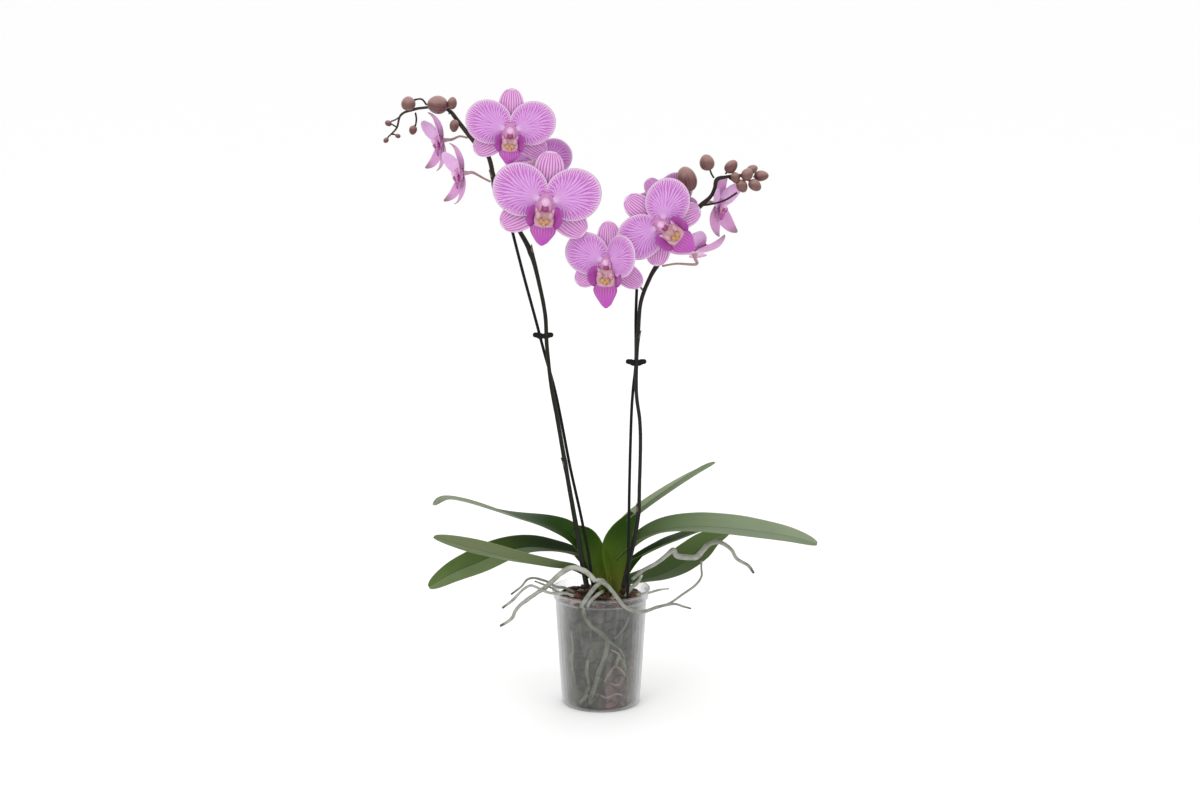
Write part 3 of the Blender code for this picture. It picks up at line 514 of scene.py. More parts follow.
def petal_material(name, light, dark, ink_share):
    """A petal: veins that fork towards the rim on mottled flesh, a pale claw and a pale edge."""
    shade = Shade(name, 0.55, Sheen_Weight=0.12, Sheen_Roughness=0.4)
    across, along = shade.uv()
    mirrored = shade.off_middle(shade.swayed(across, along, 3.0, 0.035))
    lines = shade.veins(mirrored, along, 7.0, ((0.12, 0.4), (0.34, 0.68), (0.62, 0.92)), 0.052)
    blotch = shade.noise(shade.place(), 55.0, 2.0)
    mid = shade.mix(blotch, light, dark)
    flesh = shade.mix(shade.step(along, 0.30, 0.04), mid, (0.86, 0.68, 0.84))
    flesh = shade.mix(shade.step(along, 0.80, 0.97), flesh, (0.68, 0.45, 0.68))
    ink = shade.mix(shade.step(along, 0.25, 0.7), (0.50, 0.14, 0.50), (0.40, 0.075, 0.38))
    fade = shade.times(shade.step(along, 0.995, 0.93), shade.step(along, 0.10, 0.5))
    strength = shade.times(shade.times(lines, fade), ink_share)
    colour = shade.mix(strength, flesh, ink)
    colour = shade.mix(shade.step(along, 0.972, 0.992), colour, (0.74, 0.55, 0.72))
    fine = shade.noise(shade.place(), 900.0, 2.0)
    shade.bump(shade.minus(shade.times(fine, 0.35), lines), 0.25 * MM, 0.6)
    return shade.done(colour)


def sepal_material(name, flesh_tone, foot_tone, edge_tone, ink_share, tip_tone=None):
    """A sepal with lengthwise stripes inside a pale edge; a young one can end in a duller tip."""
    shade = Shade(name, 0.55, Sheen_Weight=0.12, Sheen_Roughness=0.4)
    across, along = shade.uv()
    lines = shade.veins(shade.swayed(across, along, 2.0, 0.05), along, 5.0, ((0.08, 0.4),), 0.17)
    flesh = shade.mix(shade.step(along, 0.35, 0.0), flesh_tone, foot_tone)
    rim = shade.step(shade.off_middle(across), 0.46, 0.49)
    edge = shade.math("MAXIMUM", rim, shade.step(along, 0.95, 0.985))
    fade = shade.minus(1.0, edge)
    strength = shade.times(shade.times(lines, fade), ink_share)
    colour = shade.mix(strength, flesh, (0.42, 0.07, 0.34))
    colour = shade.mix(edge, colour, edge_tone)
    if tip_tone:
        colour = shade.mix(shade.step(along, 0.70, 0.97), colour, tip_tone)
    shade.bump(lines, -0.2 * MM, 0.6)
    return shade.done(colour)


def lip_material():
    """The mid-lobe: deep magenta with paler veins that fan out, darker towards its point."""
    shade = Shade("lip_magenta", 0.42, Sheen_Weight=0.1, Coat_Weight=0.15, Coat_Roughness=0.4)
    across, along = shade.uv()
    lines = shade.veins(across, along, 9.0, ((0.2, 0.7),), 0.12)
    deep = shade.mix(shade.step(along, 0.1, 0.9), (0.34, 0.035, 0.29), (0.46, 0.045, 0.44))
    pale = shade.times(lines, shade.step(along, 0.85, 0.2))
    colour = shade.mix(shade.times(pale, 0.42), deep, (0.72, 0.34, 0.66))
    colour = shade.mix(shade.step(along, 0.10, 0.0), colour, (0.80, 0.60, 0.70))
    shade.bump(lines, 0.25 * MM, 0.7)
    return shade.done(colour)


def side_lobe_material():
    """A side lobe: pale and veined inside, with a ragged edge to deep magenta."""
    shade = Shade("lip_side", 0.45, Sheen_Weight=0.1)
    across, along = shade.uv()
    lines = shade.veins(across, along, 6.0, ((0.2, 0.7),), 0.14)
    inner = shade.mix(shade.times(lines, 0.35), (0.82, 0.62, 0.62), (0.72, 0.30, 0.46))
    patch = shade.noise(shade.place(), 160.0, 2.0)
    reach = shade.plus(along, shade.times(shade.minus(patch, 0.5), 0.3))
    outer = shade.mix(patch, (0.27, 0.02, 0.23), (0.40, 0.06, 0.38))
    return shade.done(shade.mix(shade.step(reach, 0.10, 0.32), inner, outer))


def speckled(name, ground, spots, scale, share, roughness=0.45):
    """Small spots of one colour on a mottled ground."""
    shade = Shade(name, roughness)
    where = shade.place()
    mottle = shade.noise(where, scale * 0.5, 2.0)
    tint = shade.mix(mottle, ground, shaded(ground, 0.8))
    dots = shade.step(shade.cells(where, scale), share, 0.6 * share)
    shade.bump(mottle, 0.3 * MM, 0.5)
    return shade.done(shade.mix(dots, tint, spots))


def leaf_material(name, tones, gloss, rough, painted_half_light=None, keel_side=1, foot=0.32):
    """Leaf skin with fine parallel veins, a keel line and a pale edge; tones run from foot to tip.

    painted_half_light is painted light: the tone that one half of the blade turns to, if it differs,
    lighter where it is a painted sheen and darker where it is painted shade. That half is the far end of
    the across axis for a keel_side of 1, and the near end for -1. foot is how far up the first tone goes.
    """
    shade = Shade(name, rough, Specular_IOR_Level=gloss)
    across, along = shade.uv()
    grain = shade.grained(across, along, (40.0, 1.6, 1.6))
    cloud = shade.noise(shade.place(), 28.0, 3.0)
    base, mid, tip = tones
    colour = shade.mix(shade.step(along, 0.02, foot), base, mid)
    colour = shade.mix(shade.step(along, 0.3, 1.0), colour, tip)
    # Painted light: one half of the blade turns to a lighter tone for painted sheen, a darker one for
    # painted shade.
    if painted_half_light:
        half = shade.step(across, 0.5 - 0.04 * keel_side, 0.5 + 0.05 * keel_side)
        painted_half_mask = shade.times(half, shade.step(along, 0.15, 0.6))
        colour = shade.tint(colour, painted_half_mask, 0.8, painted_half_light)
    colour = shade.tint(colour, cloud, 0.5, shaded(mid, 0.62))
    frosting = shade.plus(0.06, shade.times(0.26, shade.step(along, 0.2, 0.7)))
    colour = shade.mix(shade.times(grain, frosting), colour, shaded(tip, 1.35))
    off_keel = shade.off_middle(across)
    keel = shade.times(shade.step(off_keel, 0.024, 0.004), 0.6)
    colour = shade.mix(keel, colour, shaded(mid, 0.5))
    edge = shade.times(shade.step(off_keel, 0.478, 0.496), 0.6)
    colour = shade.mix(edge, colour, (0.30, 0.36, 0.13))
    shade.bump(shade.plus(grain, shade.times(keel, -1.5)), 0.25 * MM, 0.5)
    return shade.done(colour)


def crown_material():
    """The leaf bases: yellow-green low down, deep green above, and pale at the upper edges."""
    shade = Shade("crown_sheath", 0.42, Specular_IOR_Level=0.07)
    across, along = shade.uv()
    grain = shade.grained(across, along, (30.0, 1.5, 1.5))
    colour = shade.mix(shade.step(along, 0.12, 0.40), (0.14, 0.155, 0.026), (0.056, 0.102, 0.006))
    colour = shade.mix(shade.step(along, 0.35, 0.80), colour, (0.017, 0.047, 0.004))
    colour = shade.tint(colour, grain, 0.35, (0.036, 0.078, 0.007))
    rim = shade.step(shade.off_middle(across), 0.46, 0.495)
    edge = shade.times(rim, shade.step(along, 0.5, 0.75))
    colour = shade.tint(colour, edge, 0.6, (0.30, 0.36, 0.14))
    shade.bump(grain, 0.3 * MM, 0.6)
    return shade.done(colour)


def stem_material(name, low, high, rough=0.45):
    """Stem skin that runs from low to high along it, mottled and flecked."""
    shade = Shade(name, rough, Specular_IOR_Level=0.15)
    along = shade.uv()[1]
    colour = shade.mix(shade.step(along, 0.3, 0.75), low, high)
    mottle = shade.noise(shade.place((1.0, 1.0, 0.35)), 220.0, 3.0)
    colour = shade.tint(colour, mottle, 0.6, shaded(low, 0.45))
    flecks = shade.step(shade.cells(shade.place((1.0, 1.0, 0.5)), 420.0), 0.22, 0.12)
    colour = shade.tint(colour, flecks, 0.4, shaded(low, 2.2))
    shade.bump(mottle, 0.25 * MM, 0.5)
    return shade.done(colour)


def root_material(name, skin, shadow, tip):
    """Root skin: blotched, finely cracked, and another colour at its very tip."""
    shade = Shade(name, 0.75)
    along = shade.uv()[1]
    mottle = shade.noise(shade.place(), 95.0, 4.0)
    colour = shade.mix(shade.step(mottle, 0.35, 0.7), skin, shadow)
    cracks = shade.step(shade.cells(shade.place(), 380.0, "DISTANCE_TO_EDGE"), 0.10, 0.02)
    colour = shade.tint(colour, cracks, 0.25, shaded(shadow, 0.6))
    colour = shade.mix(shade.step(along, 0.93, 0.975), colour, tip)
    shade.bump(shade.minus(mottle, shade.times(cracks, 0.3)), 0.5 * MM, 0.6)
    return shade.done(colour)


def bud_material(name, skin, ridge, base):
    """A closed bud: dull plum skin with faint lengthwise ribs, greener at its foot, with a painted
    highlight on top.
    """
    shade = Shade(name, 0.3, Specular_IOR_Level=0.5)
    across, along = shade.uv()
    ribs = shade.veins(across, along, 18.0, (), 0.16)
    mottle = shade.noise(shade.place(), 170.0, 3.0)
    colour = shade.mix(mottle, skin, shaded(skin, 0.62))
    colour = shade.tint(colour, ribs, 0.35, ridge)
    colour = shade.mix(shade.step(along, 0.30, 0.0), colour, base)
    # Painted highlight: faces that point up are turned towards pale pink, as if lit from above.
    normal = shade.parts(shade.add("ShaderNodeNewGeometry").outputs["Normal"])
    colour = shade.tint(colour, shade.step(normal[2], 0.05, 0.8), 0.55, (0.52, 0.31, 0.28))
    shade.bump(shade.plus(ribs, mottle), 0.25 * MM, 0.6)
    return shade.done(colour)


def plastic_material():
    """Black plastic, a little scuffed."""
    colour = (0.004, 0.004, 0.004)
    shade = Shade("black_plastic", 0.5, Specular_IOR_Level=0.12)
    scuff = shade.noise(shade.place((1.0, 1.0, 0.2)), 300.0, 3.0)
    shade.bump(scuff, 0.05 * MM, 0.4)
    return shade.done(shade.mix(scuff, colour, shaded(colour, 1.8)))


def pot_material():
    """Thin clear plastic gone hazy: streaked up and down, and whiter where it is seen edge on."""
    shade = Shade("clear_plastic", 0.35, IOR=1.3)
    streak = shade.noise(shade.place((1.0, 1.0, 0.06)), 190.0, 3.0)
    cloud = shade.noise(shade.place(), 24.0, 3.0)
    scratch = shade.step(shade.noise(shade.place((1.0, 1.0, 0.02)), 620.0, 2.0), 0.58, 0.72)
    edge_on = shade.add("ShaderNodeLayerWeight")
    edge_on.inputs["Blend"].default_value = 0.3
    rim = shade.step(edge_on.outputs["Facing"], 0.10, 0.66)
    alpha = 0.02
    streaks = shade.step(streak, 0.45, 0.8)
    for veil, share in ((streaks, 0.07), (cloud, 0.07), (scratch, 0.06), (rim, 0.50)):
        alpha = shade.plus(shade.times(veil, share), alpha)
    shade.set("Alpha", alpha)
    shade.bump(streak, 0.12 * MM, 0.3)
    return shade.done((0.60, 0.61, 0.61))


def mix_material():
    """What shows through the wall: grey-brown bark and moss with painted shade in the gaps, ruddier low on
    one side.
    """
    shade = Shade("bark_bulk", 0.9, Specular_IOR_Level=0.15)
    where = shade.place((1.0, 1.0, 0.8))
    drift = shade.noise(where, 45.0, 3.0)
    stray = shade.add("ShaderNodeVectorMath", operation="ADD")
    shade.feed(stray.inputs[0], where)
    shade.feed(stray.inputs[1], shade.join(*[shade.times(drift, 0.022)] * 3))
    where = stray.outputs[0]
    chunks = shade.cells(where, 75.0)
    gaps = shade.cells(where, 75.0, "DISTANCE_TO_EDGE")
    mottle = shade.noise(where, 60.0, 4.0)
    colour = shade.mix(shade.step(mottle, 0.3, 0.7), (0.035, 0.034, 0.028), (0.10, 0.095, 0.072))
    x, _, z = shade.parts(shade.place())
    low_right = shade.times(shade.step(x, -0.002, 0.010), shade.step(z, 0.068, 0.045))
    ruddy = shade.step(shade.noise(shade.place(), 60.0, 2.0), 0.40, 0.62)
    colour = shade.mix(shade.times(low_right, ruddy), colour, (0.15, 0.085, 0.078))
    # Painted shade: the edges between the chunk cells are darkened for the gaps between bark pieces.
    colour = shade.tint(colour, shade.step(gaps, 0.14, 0.0), 0.7, (0.012, 0.011, 0.010))
    moss = shade.step(shade.noise(shade.place(), 48.0, 4.0), 0.60, 0.74)
    colour = shade.tint(colour, moss, 0.7, (0.10, 0.12, 0.045))
    shade.bump(shade.minus(mottle, chunks), 3.0 * MM, 0.9)
    return shade.done(colour)


def bark_material(name, light, dark):
    """Bark in thin layers, light and dark."""
    shade = Shade(name, 0.88, Specular_IOR_Level=0.15)
    layers = shade.noise(shade.place((1.0, 1.0, 3.0)), 120.0, 4.0)
    speck = shade.noise(shade.place(), 420.0, 2.0)
    colour = shade.mix(shade.step(layers, 0.35, 0.65), dark, light)
    colour = shade.tint(colour, speck, 0.35, shaded(light, 1.6))
    shade.bump(layers, 0.8 * MM, 0.8)
    return shade.done(colour)


# ---------------------------------------------------------------- meshes


def metres(points):
    return [Vector(point) * MM for point in points]


def lengths(values):
    return [value * MM for value in values]


def clamped(value):
    return min(max(value, 0.0), 1.0)


def blend_along(values, share):
    """Catmull-Rom value at share (0 to 1) of the way along a list of numbers or vectors."""
    place = clamped(share) * (len(values) - 1)
    start = min(int(place), len(values) - 2)
    part = place - start
    before = values[max(start - 1, 0)]
    here, there = values[start], values[start + 1]
    after = values[min(start + 2, len(values) - 1)]
    bend = 2 * before - 5 * here + 4 * there - after
    twist = 3 * here - before - 3 * there + after
    return here + 0.5 * part * ((there - before) + part * (bend + part * twist))


def sampled(values, count):
    return [blend_along(values, i / count) for i in range(count + 1)]


def heading(route, share, step):
    """A route's place at share of its length, and the way it runs there."""
    ahead = blend_along(route, share + step)
    behind = blend_along(route, share - step)
    return blend_along(route, share), (ahead - behind).normalized()


def add_to_scene(name, data):
    thing = bpy.data.objects.new(name, data)
    bpy.context.scene.collection.objects.link(thing)
    return thing


def finish_mesh(shape, materials):
    """An object from a bmesh, with normals facing out and smooth shading."""
    bmesh.ops.recalc_face_normals(shape, faces=shape.faces)
    if shape.calc_volume(signed=True) < 0:
        bmesh.ops.reverse_faces(shape, faces=shape.faces)
    mesh = bpy.data.meshes.new("shape")
    shape.to_mesh(mesh)
    shape.free()
    mesh.shade_smooth()
    for material in materials:
        mesh.materials.append(material)
    return add_to_scene("shape", mesh)


def tagged_face(shape, layer, corners, spots, index=0):
    """A face whose corners get their places in the UV map."""
    face = shape.faces.new(corners)
    face.material_index = index
    for loop, spot in zip(face.loops, spots):
        loop[layer].uv = spot
    return face


def turns(sides):
    return [2 * math.pi * k / sides for k in range(sides)]


def bridge(shape, layer, loops):
    """Faces between closed loops of verts. A loop at a pole is one vert, repeated."""
    sides = len(loops[0])
    spans = len(loops) - 1
    for i in range(spans):
        for k in range(sides):
            m = (k + 1) % sides
            spots = {
                loops[i][k]: (k / sides, i / spans), loops[i][m]: ((k + 1) / sides, i / spans),
                loops[i + 1][m]: ((k + 1) / sides, (i + 1) / spans),
                loops[i + 1][k]: (k / sides, (i + 1) / spans)}
            tagged_face(shape, layer, tuple(spots), tuple(spots.values()))


def tube(route, radii, material, sides=16, rings_per_span=5, wobble=0.0, seed=0.0):
    """A round stem along a smooth route, with domed ends and, with wobble, an uneven thickness."""
    rings = rings_per_span * (len(route) - 1)
    points = sampled(route, rings)
    widths = sampled(radii, rings)
    shape = bmesh.new()
    layer = shape.loops.layers.uv.new("UVMap")
    loops = []
    side = (points[1] - points[0]).orthogonal().normalized()
    for i, point in enumerate(points):
        along = (points[min(i + 1, rings)] - points[max(i - 1, 0)]).normalized()
        side = (side - along * side.dot(along)).normalized()
        across = along.cross(side)
        loop = []
        for turn in turns(sides):
            radial = side * math.cos(turn) + across * math.sin(turn)
            swell = 1.0
            if wobble:
                spot = (point + radial * widths[i]) * 140 + Vector((seed, 0.0, 0.0))
                swell += wobble * noise.noise(spot)
            loop.append(shape.verts.new(point + widths[i] * swell * radial))
        loops.append(loop)
    bridge(shape, layer, loops)
    for loop, end, nearest, v in ((loops[0], 0, 1, 0.0), (loops[-1], -1, -2, 1.0)):
        outwards = (points[end] - points[nearest]).normalized()
        width = widths[end]
        inner = [shape.verts.new(points[end] + outwards * 0.45 * width + (vert.co - points[end]) * 0.7)
                 for vert in loop]
        pole = shape.verts.new(points[end] + outwards * width * 0.65)
        for k in range(sides):
            m = (k + 1) % sides
            tagged_face(shape, layer, (loop[k], loop[m], inner[m], inner[k]), [(k / sides, v)] * 4)
            tagged_face(shape, layer, (inner[k], inner[m], pole), [(k / sides, v)] * 3)
    return finish_mesh(shape, [material])


def sheet(surface, thickness, across, along, upper, lower=None, start=0.0, reach=1.0):
    """A thin closed leaf or petal round surface(u, v): u from -reach to reach, v from start to 1."""
    step = 0.004
    shape = bmesh.new()
    layer = shape.loops.layers.uv.new("UVMap")
    top, low, spots = [], [], []
    for i in range(across + 1):
        u = reach * (2 * i / across - 1)
        top_row, low_row, spot_row = [], [], []
        for j in range(along + 1):
            v = start + (1 - start) * j / along
            middle = surface(u, v)
            spot_row.append((0.5 + 0.5 * u / reach, v))
            if i in (0, across) or j in (0, along):
                edge = shape.verts.new(middle)
                top_row.append(edge)
                low_row.append(edge)
                continue
            over_u = surface(u + step, v) - surface(u - step, v)
            over_v = surface(u, v + step) - surface(u, v - step)
            thin = math.sqrt(1 - (u / reach) ** 2) * min(1.0, math.sqrt(8 * (1 - v)) + 0.15)
            half = 0.5 * thickness * thin * over_u.cross(over_v).normalized()
            top_row.append(shape.verts.new(middle + half))
            low_row.append(shape.verts.new(middle - half))
        top.append(top_row)
        low.append(low_row)
        spots.append(spot_row)
    order = ((0, 0), (1, 0), (1, 1), (0, 1))
    for rows, index in ((top, 0), (low, 1)):
        for i in range(across):
            for j in range(along):
                corners = [rows[i + a][j + b] for a, b in order]
                marks = [spots[i + a][j + b] for a, b in order]
                tagged_face(shape, layer, corners, marks, index if lower else 0)
    return finish_mesh(shape, [upper, lower] if lower else [upper])


def turned(profile, material, sides, surface):
    """Turns a profile of (radius, height) points round the Z axis, and surface(place, turn) shifts each."""
    shape = bmesh.new()
    layer = shape.loops.layers.uv.new("UVMap")
    loops = []
    for radius, height in profile:
        if radius == 0.0:
            loops.append([shape.verts.new((0.0, 0.0, height))] * sides)
            continue
        places = [(Vector((radius * math.cos(t), radius * math.sin(t), height)), t) for t in turns(sides)]
        loops.append([shape.verts.new(surface(place, turn)) for place, turn in places])
    bridge(shape, layer, loops)
    return finish_mesh(shape, [material])


def ball(centre, direction, long_radius, short_radius, material, sides, rings, form=None):
    """A rounded solid whose long axis runs along direction. form(turn, share) swells its radius."""
    shape = bmesh.new()
    layer = shape.loops.layers.uv.new("UVMap")
    turned_to = Vector(direction).to_track_quat("Z", "Y").to_matrix()
    rows = []
    for j in range(rings + 1):
        share = j / rings
        height = -math.cos(math.pi * share)
        girth = math.sin(math.pi * share)
        if j in (0, rings):
            pole = Vector(centre) + turned_to @ Vector((0.0, 0.0, height * long_radius))
            rows.append([shape.verts.new(pole)] * sides)
            continue
        row = []
        for turn in turns(sides):
            swell = form(turn, share) if form else 1.0
            flat = short_radius * girth * swell
            place = Vector((flat * math.cos(turn), flat * math.sin(turn), height * long_radius))
            row.append(shape.verts.new(Vector(centre) + turned_to @ place))
        rows.append(row)
    bridge(shape, layer, rows)
    return finish_mesh(shape, [material])


def lump(centre, direction, long_radius, short_radius, material, sides, rings, form=None):
    """A ball given in millimetres."""
    place = Vector(centre) * MM
    return ball(place, direction, long_radius * MM, short_radius * MM, material, sides, rings, form)


def move(things, frame):
    for thing in things:
        thing.data.transform(frame)


def piece(name, things, node):
    """Joins the meshes into one piece that stands for a CAD node."""
    first = things[0]
    if len(things) > 1:
        with bpy.context.temp_override(
                active_object=first, object=first, selected_objects=things,
                selected_editable_objects=things):
            bpy.ops.object.join()
    first.name = name
    first.data.name = name
    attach(first, "root")
    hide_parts(node)
    return first


# ---------------------------------------------------------------- leaves, crown, spikes


def leaf_surface(name):
    """A channelled blade: folded and rolled along its keel, widest past its middle, a little wavy."""
    route, width, rolls, folds, twist = LEAVES[name]
    route = metres(route)
    seed = float(len(name) + 7 * sum(map(ord, name)) % 97)

    def place(u, v):
        share = clamped(v)
        centre, along = heading(route, share, 0.02)
        level = along.cross(UP).normalized()
        top = level.cross(along)
        roll = math.radians(rolls[1] + (rolls[0] - rolls[1]) * (1 - share) ** twist)
        side = level * math.cos(roll) + top * math.sin(roll)
        normal = top * math.cos(roll) - level * math.sin(roll)
        fold = math.radians(folds[1] + (folds[0] - folds[1]) * (1 - share) ** 3)
        swell = 0.40 + 0.60 * math.sin(0.5 * math.pi * min(share / 0.6, 1.0)) ** 1.3
        narrow = max(1 - (max(share - 0.6, 0.0) / 0.41) ** 2, 0.0) ** 0.7
        half = 0.5 * width * MM * swell * narrow
        wave = noise.noise(Vector((3.0 * share, 0.8 * u, seed))) * u * u * 2.2 * MM * share
        # A soft crease at the keel that opens into a curve: steep beside the keel, flatter at the edge.
        lift = math.sin(fold) * (abs(u) - 0.35 * (1 - math.exp(-6 * abs(u))) * (1 - share) * 0.4)
        return centre + half * (side * u * math.cos(fold) + normal * lift) + normal * wave

    return place


def make_leaves(skins):
    for name in LEAVES:
        surface = leaf_surface(name)
        upper, lower = skins[name]
        blade = sheet(surface, LEAF_THICKNESS, *LEAF_GRID, upper, lower)
        piece("leafblade_" + name[5:], [blade], name)


def sheath_surface(route, widths, cup):
    """A leaf base that clasps the crown and opens towards the front."""
    route = metres(route)

    def place(u, v):
        share = clamped(v)
        centre, along = heading(route, share, 0.03)
        side = along.cross(Vector((0.0, 1.0, 0.0))).normalized()
        half = blend_along(widths, share) * MM
        forward = cup * MM * (1 - share) * (u * u - 0.4)
        return centre + side * half * u + Vector((0.0, -forward - 1.5 * MM * abs(u), 0.0))

    return place


def make_crown(skin):
    route, radii = CORE
    parts = [tube(metres(route), lengths(radii), skin, 24)]
    for route, widths, cup in SHEATHS:
        parts.append(sheet(sheath_surface(route, widths, cup), 2.0 * MM, 36, 30, skin))
    piece("crown_sheaths", parts, "crown")


def bract(route, radii, share, side, skin):
    """A small papery sheath at a node of the stem."""
    point, along = heading(route, share, 0.01)
    across = Vector((0.0, 1.0, 0.0)).cross(along).normalized() * -side
    depth = along.cross(across)
    width = blend_along(radii, share)

    def place(u, v):
        turn = u * math.radians(100 - 70 * v)
        radius = width * (1.06 + 0.5 * v * v)
        radial = across * math.cos(turn) + depth * math.sin(turn)
        return point + radial * radius + along * (11 * MM * v - 2 * MM)

    return sheet(place, 0.8 * MM, 16, 10, skin)


def ringed(radii, shares, rings_per_span):
    """Radii with a slight swelling at each node."""
    count = (len(radii) - 1) * rings_per_span
    swollen = []
    for i in range(count + 1):
        share = i / count
        swell = sum(math.exp(-((share - node) / 0.006) ** 2) for node in shares)
        swollen.append(blend_along(radii, share) * (1 + 0.22 * swell) * MM)
    return swollen


def make_spike(name, route, radii, bracts, branches, tip_buds, skins):
    stem_skin, bract_skin, bud_skin = skins
    points = metres(route)
    dense_points = sampled(points, STEM_RINGS * (len(points) - 1))
    dense_radii = ringed(radii, [share for share, side in bracts], STEM_RINGS)
    parts = [tube(dense_points, dense_radii, stem_skin, 20, 1, wobble=0.05)]
    for share, side in bracts:
        parts.append(bract(points, lengths(radii), share, side, bract_skin))
    for side_route, side_radius in branches:
        parts.append(tube(metres(side_route), [side_radius * MM] * len(side_route), stem_skin, 12))
    for centre, radius in tip_buds:
        place = Vector(centre) * MM
        joint = min(points, key=lambda point: (point - place).length)
        middle = 0.5 * (joint + place) + Vector((0.0, 0.0, 0.8 * MM))
        parts.append(tube([joint, middle, place], [0.9 * MM] * 3, stem_skin, 10))
        size = radius * MM
        parts.append(ball(place, place - joint, size, 0.85 * size, bud_skin, 16, 12))
    piece(name + "_stem", parts, name)


def make_clip(name, skin):
    """A spring clip: a barrel round stem and stake, and a finger pad each side with ridges on it."""
    low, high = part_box(name)
    middle = 0.5 * (low + high)
    half = 0.5 * (high - low)
    parts = []
    for shift in (-0.36, 0.36):
        centre = middle + Vector((shift * half.x, 0.0, 0.0))
        parts.append(ball(centre, UP, 1.25 * half.z, 0.52 * half.x, skin, 32, 16,
                          lambda turn, share: 1.0 + 0.05 * math.cos(8 * turn)))
    for side in (-1, 1):
        root = middle + Vector((side * 0.5 * half.x, 0.0, 0.0))
        tip = middle + Vector((side * 1.02 * half.x, -0.1 * half.y, 0.5 * half.z))
        parts.append(tube([root, 0.5 * (root + tip), tip], lengths((3.2, 3.0, 2.6)), skin, 16))
        for k in range(3):
            ridge = tip + Vector((-side * 1.6 * MM * k, 0.0, 0.0))
            parts.append(ball(ridge, (0, 1, 0), 3.0 * MM, 3.2 * MM, skin, 12, 8))
    piece(name + "_body", parts, name)


def make_buds(skins, stalk_skin):
    for index, (name, (centre, long_radius, short_radius, direction, stalk)) in enumerate(BUDS.items()):
        place = Vector(centre) * MM
        axis = Vector(direction).normalized()

        def form(turn, share):
            ribs = 0.035 * math.cos(3 * turn + index) * math.sin(math.pi * share)
            seams = 0.03 * abs(math.sin(1.5 * turn + index)) ** 0.5
            return (1.0 + ribs - seams) * (1.0 + 0.10 * math.cos(math.pi * share))

        skin = skins[index % len(skins)]
        body = ball(place, axis, long_radius * MM, short_radius * MM, skin, 48, 32, form)
        foot = place - axis * 0.75 * long_radius * MM
        route = metres(stalk) + [foot]
        radii = [BUD_STALK_RADIUS] * (len(route) - 1) + [1.7 * BUD_STALK_RADIUS]
        parts = [body, tube(route, radii, stalk_skin, 12)]
        for middle, long, short, towards in CROWDED_BUDS.get(name, ()):
            other_skin = skins[(index + 1) % len(skins)]
            parts.append(lump(middle, towards, long, short, other_skin, 32, 20, form))
        piece(name + "_body", parts, name)


def make_roots(skins):
    for index, (name, runs) in enumerate(ROOTS.items()):
        parts = []
        for route, radii in runs + EXTRA_ROOTS.get(name, ()):
            skin = skins[index % len(skins)]
            parts.append(tube(metres(route), lengths(radii), skin, 18, 6, 0.16, index))
        piece(name + "_skin", parts, name)


# ---------------------------------------------------------------- flowers


def bent(point, bend):
    """Rolls a flat tepal forward round the flower's middle, keeping its length."""
    away = math.hypot(point.x, point.y)
    if bend == 0.0 or away == 0.0:
        return point
    curve = bend / (50 * MM)
    angle = curve * away
    radial = math.sin(angle) * (1 / curve - point.z)
    forward = (1 - math.cos(angle)) / curve + point.z * math.cos(angle)
    return Vector((point.x * radial / away, point.y * radial / away, forward))


def sepal_surface(bearing, length, width, bend, pointed, seed):
    """A blunt oval sepal, or a pointed one whose tip hooks forward."""
    turn = Matrix.Rotation(-math.radians(bearing), 3, "Z")

    def place(u, v):
        share = clamped(v)
        if share < 0.56:
            spread = 0.30 + 0.70 * math.sin(0.5 * math.pi * share / 0.56)
        else:
            spread = max(1 - ((share - 0.56) / 0.442) ** 2.3, 0.0) ** 0.5
        spear = 1.0 - 0.55 * pointed * share ** 1.2
        half = 0.5 * width * spread * spear
        trough = -1.6 * MM * (1 - u * u) * (1 - 0.5 * share)
        wave = 1.1 * MM * noise.noise(Vector((2.0 * u, 3.0 * share, seed))) * share
        hook = 13 * MM * pointed * share ** 4
        height = SEPAL_DEPTH - 3.0 * MM * share ** 2 + trough + wave + hook
        return bent(turn @ Vector((half * u, length * share, 0.0)) + Vector((0.0, 0.0, height)), bend)

    return place


def petal_surface(side, size, slim, lift, bend, turn, seed):
    """A broad round petal: every vein leaves the claw inwards and curves to meet the rim squarely.

    A young flower's petals are still slim: narrower across than along.
    """
    lift = math.radians(lift)
    claw = Vector((PETAL_CLAW, 0.0, 0.0))
    radius = PETAL_RADIUS * size
    middle = claw + radius * Vector((math.cos(lift), math.sin(lift), 0.0))
    swing = Matrix.Rotation(-side * math.radians(turn), 3, "Y")
    axis = (middle - claw).normalized()

    def place(u, v):
        share = clamped(v)
        angle = math.radians(PETAL_FAN) * u
        lobed = 1 + 0.035 * math.cos(2 * angle) + 0.014 * noise.noise(Vector((3 * u, 0.5, seed)))
        out = Vector((math.cos(lift + angle), math.sin(lift + angle), 0.0))
        rim = middle + radius * lobed * out
        knee = middle.lerp(0.5 * (claw + rim), 0.42)
        flat = (1 - share) ** 2 * claw + 2 * share * (1 - share) * knee + share ** 2 * rim
        run = (flat - claw).dot(axis) * axis
        flat = claw + run + slim * (flat - claw - run)
        away = (flat - claw).length / (2 * radius)
        dish = 5.0 * MM * away * (1.25 - away)
        ruffle = 1.5 * MM * noise.noise(Vector((4.5 * u, 1.3 * share, seed + 5))) * share ** 2
        roll_back = -1.8 * MM * share ** 6
        height = PETAL_DEPTH + dish + ruffle + roll_back
        return swing @ bent(Vector((side * flat.x, flat.y, height)), bend)

    return place


